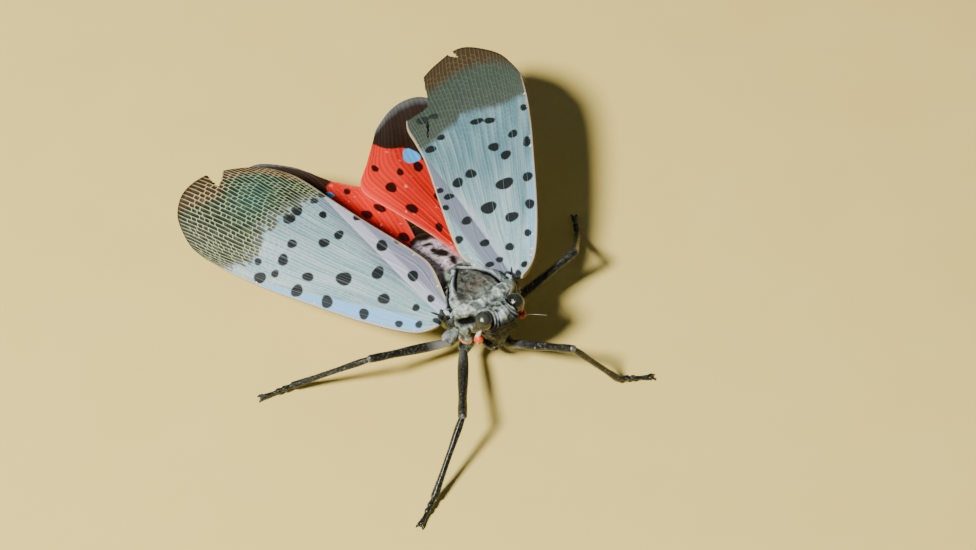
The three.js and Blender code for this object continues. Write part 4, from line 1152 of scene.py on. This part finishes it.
# The beak
# A jointed sucking tube of hard chitin, folded back under the body between
# the leg bases. Nearly black, with a dull dusty shine like the legs.
chitin, shader, place = finish_named("Dusty dark chitin")
fine = node(chitin, "TexNoise", {"Vector": place, "Scale": 6.0, "Detail": 4.0})
cloud = node(chitin, "TexNoise", {"Vector": place, "Scale": 0.8, "Detail": 2.0})
dusty = node(chitin, "ValToRGB", {"Fac": fine}, stops=[
    (0.36, "#0B0C0B"), (0.52, "#242826"), (0.66, "#6A726B"), (0.8, "#A9B3AC")])
brown = node(chitin, "Mix", {SHARE: cloud, ONE: dusty, TWO: "#17191A"}, data_type="RGBA")
pale_end = node(chitin, "Attribute", attribute_name="pale")
banded = node(chitin, "Mix", {SHARE: pale_end, ONE: brown, TWO: "#A2A6AA"}, data_type="RGBA")
relief = node(chitin, "Bump", {"Height": fine, "Strength": 0.5, "Distance": 0.00005})
wire(chitin, shader, {"Base Color": banded, "Roughness": 0.3, "IOR": 1.5, "Normal": relief})

BEAK = [
    [0, -2.0, 2.2, 0.24], [0, -1.75, 1.9, 0.26], [0, -1.25, 1.65, 0.27], [0, 0.2, 1.5, 0.22],
    [0, 0.6, 1.45, 0.26], [0, 2.6, 1.3, 0.22], [0, 3.3, 1.28, 0.14],
]
beak = shell_piece("beak", capped(limb_rings(BEAK, 60, 20, ribs=4, rib_height=0.05)), {})
dressed(beak, chitin, "dark_shell", "rostrum")

# The abdomen
# Soft rings that overlap like roof tiles, yellow below with black bars, and
# dusted white on top near the thorax.
RINGS = 8
RING_ROWS = 14
ABDOMEN_START = 4.0
ABDOMEN_LENGTH = 9.3
ABDOMEN_SIDES = 96
# Its greatest half width and the share of its length where that lies, and how
# high its middle is at the front and at the end.
ABDOMEN_HALF_WIDTH = 2.65
WIDEST_AT = 0.27
FRONT_HEIGHT = 3.6
END_HEIGHT = 1.75
# Dark flecks in the wax on the first rings.
FLECKS = [
    [[0.5, 7.3, 4.4], [0.9, 7.2, 4.4]], [[0.7, 6.5, 4.5], [1.25, 5.8, 4.6]],
    [[0.6, 6.1, 4.7], [1.0, 5.7, 4.7]], [[1.3, 5.1, 4.8], [1.05, 4.4, 4.95]],
]
TAIL = [[0.25, 12.6, 1.75, 0.34], [0.27, 13.4, 1.65, 0.3], [0.22, 13.9, 1.6, 0.2]]


def abdomen_section(y):
    """Half width, middle height and half height of the abdomen at a place."""
    t = (y - ABDOMEN_START) / 9.4
    half = ABDOMEN_HALF_WIDTH * math.sqrt(max(0.03, 1 - (abs(t - WIDEST_AT) / 0.74) ** 2.6))
    middle = FRONT_HEIGHT + (END_HEIGHT - FRONT_HEIGHT) * max(t, 0) ** 0.8
    tall = 0.62 * half + 0.05
    low, high = max(middle - tall, 0.5), middle + tall
    return half, (low + high) / 2, (high - low) / 2


def abdomen_piece():
    """All rings in one skin, each a little wider at its end than at its start."""
    stations, bars = [], []
    for ring in range(RINGS):
        start, end = (ABDOMEN_START + ABDOMEN_LENGTH * (ring + k) / RINGS for k in (0, 1))
        for part in np.linspace(0, 1, RING_ROWS):
            y = start + (end - start) * part
            half, middle, tall = abdomen_section(y)
            shut = 1 - 0.055 * (1 - ease(0.0, 0.9, part)) - 0.02 * (part > 0.97)
            stations.append([y, half * shut, middle - tall * shut, middle + tall * shut])
            bars.append(part)
    corners = rounded_rings(stations, ABDOMEN_SIDES, 2.2)
    x, y = corners[..., 0], corners[..., 1]
    corners = lifted(corners, 0.05 * rough(corners, 0.8) + 0.02 * rough(corners, 0.25))
    part = np.array(bars)[:, None] + 0 * x
    upward = -np.cos(2 * np.pi * np.arange(ABDOMEN_SIDES + 1) / ABDOMEN_SIDES)
    top = ease(0.1, 0.5, upward) + 0 * x
    # The black top middle is partly the real black back and partly painted shade under the wings.
    middle = ease(2.3, 1.7, np.abs(x)) * top
    bar = ease(0.02, 0.2, part) * ease(0.85, 0.7, part) * (0.35 + 0.65 * top)
    flecks = sum(near_line(corners, line, 0.27) for line in FLECKS)
    folds = crumpled(corners, 0.8)
    # The folds thin the wax in their hollows, partly as painted shade.
    wax = ease(8.2, 7.4, y + 0.4 * rough(corners, 1.0)) * top * (0.7 + 0.5 * folds)
    wax = wax + 0.3 * ease(0.8, 0.95, part) * (1 - middle)
    return shell_piece("abdomen_rings", capped(corners, 0.5), {
        "bar": np.maximum(bar, middle), "wax": np.clip(wax - 1.3 * flecks, 0, 1)})


tail = [
    shell_piece("tail", capped(limb_rings(stations_from(np.zeros(3), TAIL, side), 20, 24)), {})
    for side in (-1, 1)
]
abdomen = joined("abdomen_rings", [abdomen_piece(), *tail])

# Thin soft cuticle: mustard yellow, black bars on each ring, white wax dust.
belly, shader, place = finish_named("Banded soft cuticle")
bar = node(belly, "Attribute", attribute_name="bar")
wax = node(belly, "Attribute", attribute_name="wax")
fine = node(belly, "TexNoise", {"Vector": place, "Scale": 3.5, "Detail": 5.0})
yellow = node(belly, "ValToRGB", {"Fac": fine}, stops=[(0.3, "#8D7430"), (0.6, "#C7AC55")])
whole = node(belly, "Mix", {SHARE: bar, ONE: yellow, TWO: "#120C0B"}, data_type="RGBA")
powder = node(belly, "ValToRGB", {"Fac": fine}, stops=[
    (0.3, "#6E6478"), (0.45, "#CDBFD4"), (0.6, "#FFF6FF")])
whole = node(belly, "Mix", {SHARE: wax, ONE: whole, TWO: powder}, data_type="RGBA")
relief = node(belly, "Bump", {"Height": fine, "Strength": 0.6, "Distance": 0.00008})
wire(belly, shader, {"Base Color": whole, "Roughness": 0.5, "IOR": 1.45, "Normal": relief})
dressed(abdomen, belly, "belly", "abdomen")

# The legs
# Six jointed legs of dark ribbed chitin: a waxed base, a thigh, a shin with
# fine bristles, and a foot of three short links with two claws and a pad.

# Each leg's places: where it leaves the body, its hip, knee, ankle and toe.
LEGS = {
    "fore_right": (
        [-1.3, -0.45, 2.6], [-2.15, -0.95, 2.4], [-6.44, -6.62, 3.85], [-10.75, -9.1, 0.62],
        [-12.86, -10.25, 0.12]),
    "fore_left": (
        [0.85, -0.8, 2.3], [1.12, -2.15, 1.95], [2.92, -7.2, 5.0], [6.05, -8.6, 0.62], [8.4, -9.75, 0.12]),
    "mid_right": (
        [-1.6, 0.9, 2.05], [-2.45, 0.5, 2.05], [-8.64, 1.46, 3.9], [-13.0, 5.0, 0.62],
        [-15.43, 5.77, 0.12]),
    "mid_left": (
        [1.6, 0.9, 2.05], [2.45, 0.5, 2.05], [9.0, 0.3, 4.35], [12.2, 3.9, 0.62], [13.4, 5.9, 0.12]),
    "hind_right": (
        [-1.3, 2.85, 1.7], [-2.0, 3.2, 1.7], [-5.3, 8.3, 3.1], [-7.5, 14.6, 0.62], [-8.3, 16.9, 0.12]),
    "hind_left": (
        [1.3, 2.85, 1.7], [2.0, 3.2, 1.7], [5.3, 8.3, 3.1], [7.5, 14.6, 0.62], [8.3, 16.9, 0.12]),
}
# Radii along a leg's base, thigh and shin.
BASE = [0.62, 0.56, 0.48, 0.4]
THIGH = [0.27, 0.34, 0.37, 0.37, 0.35, 0.31, 0.29, 0.32, 0.3]
SHIN = [0.2, 0.26, 0.25, 0.22, 0.21, 0.21, 0.22, 0.25, 0.28]
# A foot's links: where each starts and ends, and its radii. The last one ends
# at the given place short of the toe.
LINKS = [(0.05, 0.75, [0.2, 0.17, 0.21, 0.24]), (0.8, 1.25, [0.17, 0.17, 0.22, 0.22])]
LAST_LINK_START, SHORT_OF_TOE, LAST_LINK = 1.3, 0.2, [0.15, 0.14, 0.16, 0.2, 0.21]
# A hind shin's spines, from where they root: X, Y, Z and radius.
SPINE_SHARES = (0.35, 0.5, 0.65, 0.8, 0.95)
SPINE = [[0, 0, 0, 0.14], [0.3, 0.12, 0.05, 0.11], [0.5, 0.26, 0.04, 0.05], [0.6, 0.33, 0.03, 0.015]]
# A claw, from the toe: how far ahead and aside, its height and its radius.
CLAW = [
    [-0.38, 0.05, 0.26, 0.1], [-0.15, 0.14, 0.3, 0.085], [0.05, 0.21, 0.2, 0.06], [0.14, 0.26, 0.04, 0.02],
]
# How pale the wax is on the knees and on the thighs next to the hip. On the right mid thigh the pale is
# partly a painted highlight.
KNEE_WAX = 0.4
THIGH_WAX_AND_HIGHLIGHT = {"mid_right": 0.8}
OTHER_THIGH_WAX = 0.2


def segment(start, end, radii):
    """Stations from start to end with those radii."""
    shares = np.linspace(0, 1, len(radii))[:, None]
    return np.concatenate([start + shares * (end - start), np.array(radii)[:, None]], 1)


def tube(name, stations, rows, sides, ribs=0, rib_height=0.0, pale=None):
    """A ribbed limb part. pale gives its wax for a share of its length."""
    rings = capped(limb_rings(stations, rows, sides, ribs, rib_height), 0.7)
    shares = np.linspace(0, 1, rings.shape[0])[:, None] + 0 * rings[..., 0]
    return shell_piece(name, rings, {"pale": pale(shares) if pale else 0})


def unit(way):
    """The same way with length 1."""
    return way / np.linalg.norm(way)


def bristles(start, end, radius, count, length, width, seed):
    """Fine hairs that lean towards the foot, as three-sided cones in one mesh."""
    rng = np.random.default_rng(seed)
    way = unit(end - start)
    side = unit(np.cross(way, [0, 0, 1.0]))
    up = np.cross(side, way)
    corners, faces = [], []
    for hair in range(count):
        share = (hair + rng.random()) / count
        turn = rng.random() * 2 * np.pi
        out = math.cos(turn) * side + math.sin(turn) * up
        root = start + share * (end - start) + out * radius * 0.8
        tip = root + out * length * 0.7 + way * length
        tip[2] = max(tip[2], 0.02)
        lean = unit(tip - root)
        across = unit(np.cross(lean, [0.3, 0.2, 1.0]))
        over = np.cross(across, lean)
        for turn in (0, 2 * np.pi / 3, 4 * np.pi / 3):
            corners.append(root + width * (math.cos(turn) * across + math.sin(turn) * over))
        corners.append(tip)
        a, b, c, d = range(4 * hair, 4 * hair + 4)
        faces += [(a, b, d), (b, c, d), (c, a, d), (c, b, a)]
    mesh = bpy.data.meshes.new("hairs")
    mesh.from_pydata([tuple((corner + SHIFT) * MM) for corner in corners], [], faces)
    piece = bpy.data.objects.new("hairs", mesh)
    bpy.context.scene.collection.objects.link(piece)
    note(piece, "pale", np.zeros(len(corners)))
    return piece


for number, (name, places) in enumerate(LEGS.items()):
    root, hip, knee, ankle, toe = np.array(places, float)
    rings = capped(limb_rings(segment(root - 0.35 * (hip - root), hip, BASE), 24, 30), 0.6)
    rings = lifted(rings, 0.05 * rough(rings, 0.4))
    base = shell_piece("base", rings, {
        "dark": 0.2, "worn": 0.35, "pale": 0, "high": 0.15 + 0.65 * crumpled(rings, 0.45)})
    dressed(joined(f"coxa_{name}", [base]), waxed, "waxy_shell")

    hip_wax_and_highlight = THIGH_WAX_AND_HIGHLIGHT.get(name, OTHER_THIGH_WAX)
    thigh = tube("thigh", segment(hip, knee, THIGH), 60, 32, 4, 0.07,
                 lambda share: KNEE_WAX * ease(0.95, 0.99, share) + hip_wax_and_highlight * ease(0.36, 0.12, share))
    hairs = bristles(hip, knee, 0.34, 70, 0.16, 0.014, 10 + number)
    dressed(joined(f"thigh_{name}", [thigh, hairs]), chitin, "dark_shell", f"femur_{name}")

    shin = tube("shin", segment(knee, ankle, SHIN), 60, 28, 4, 0.06,
                lambda share: KNEE_WAX * ease(0.06, 0.01, share))
    shin_parts = [shin, bristles(knee, ankle, 0.22, 110, 0.2, 0.014, 30 + number)]
    for share in SPINE_SHARES if name.startswith("hind") else ():
        spine_root = knee + share * (ankle - knee)
        shin_parts.append(tube("spine", stations_from(spine_root, SPINE, np.sign(knee[0])), 14, 10))
    dressed(joined(f"shin_{name}", shin_parts), chitin, "dark_shell", f"tibia_{name}")

    way = unit(toe - ankle)
    last_end = np.linalg.norm(toe - ankle) - SHORT_OF_TOE
    foot_parts = []
    for start, end, radii in [*LINKS, (LAST_LINK_START, last_end, LAST_LINK)]:
        foot_parts.append(tube("link", segment(ankle + way * start, ankle + way * end, radii), 20, 20))
    ahead = np.array([way[0], way[1], 0]) / np.hypot(way[0], way[1])
    aside = np.array([-ahead[1], ahead[0], 0])
    for side in (-1, 1):
        claw = [[*(toe + ahead * out + aside * apart * side)[:2], height, radius]
                for out, apart, height, radius in CLAW]
        foot_parts.append(tube("claw", claw, 16, 10))
    x, y, _ = toe - 0.15 * ahead
    pad = pebble("pad", [x, y, 0.12], [0.16, 0.16, 0.12], bumpy=0.1, sides=16)
    note(pad, "pale", np.full(len(pad.data.vertices), 0.5))
    foot_parts += [pad, bristles(ankle, toe, 0.18, 30, 0.14, 0.012, 60 + number)]
    dressed(joined(f"foot_{name}", foot_parts), chitin, "dark_shell", f"tarsus_{name}")
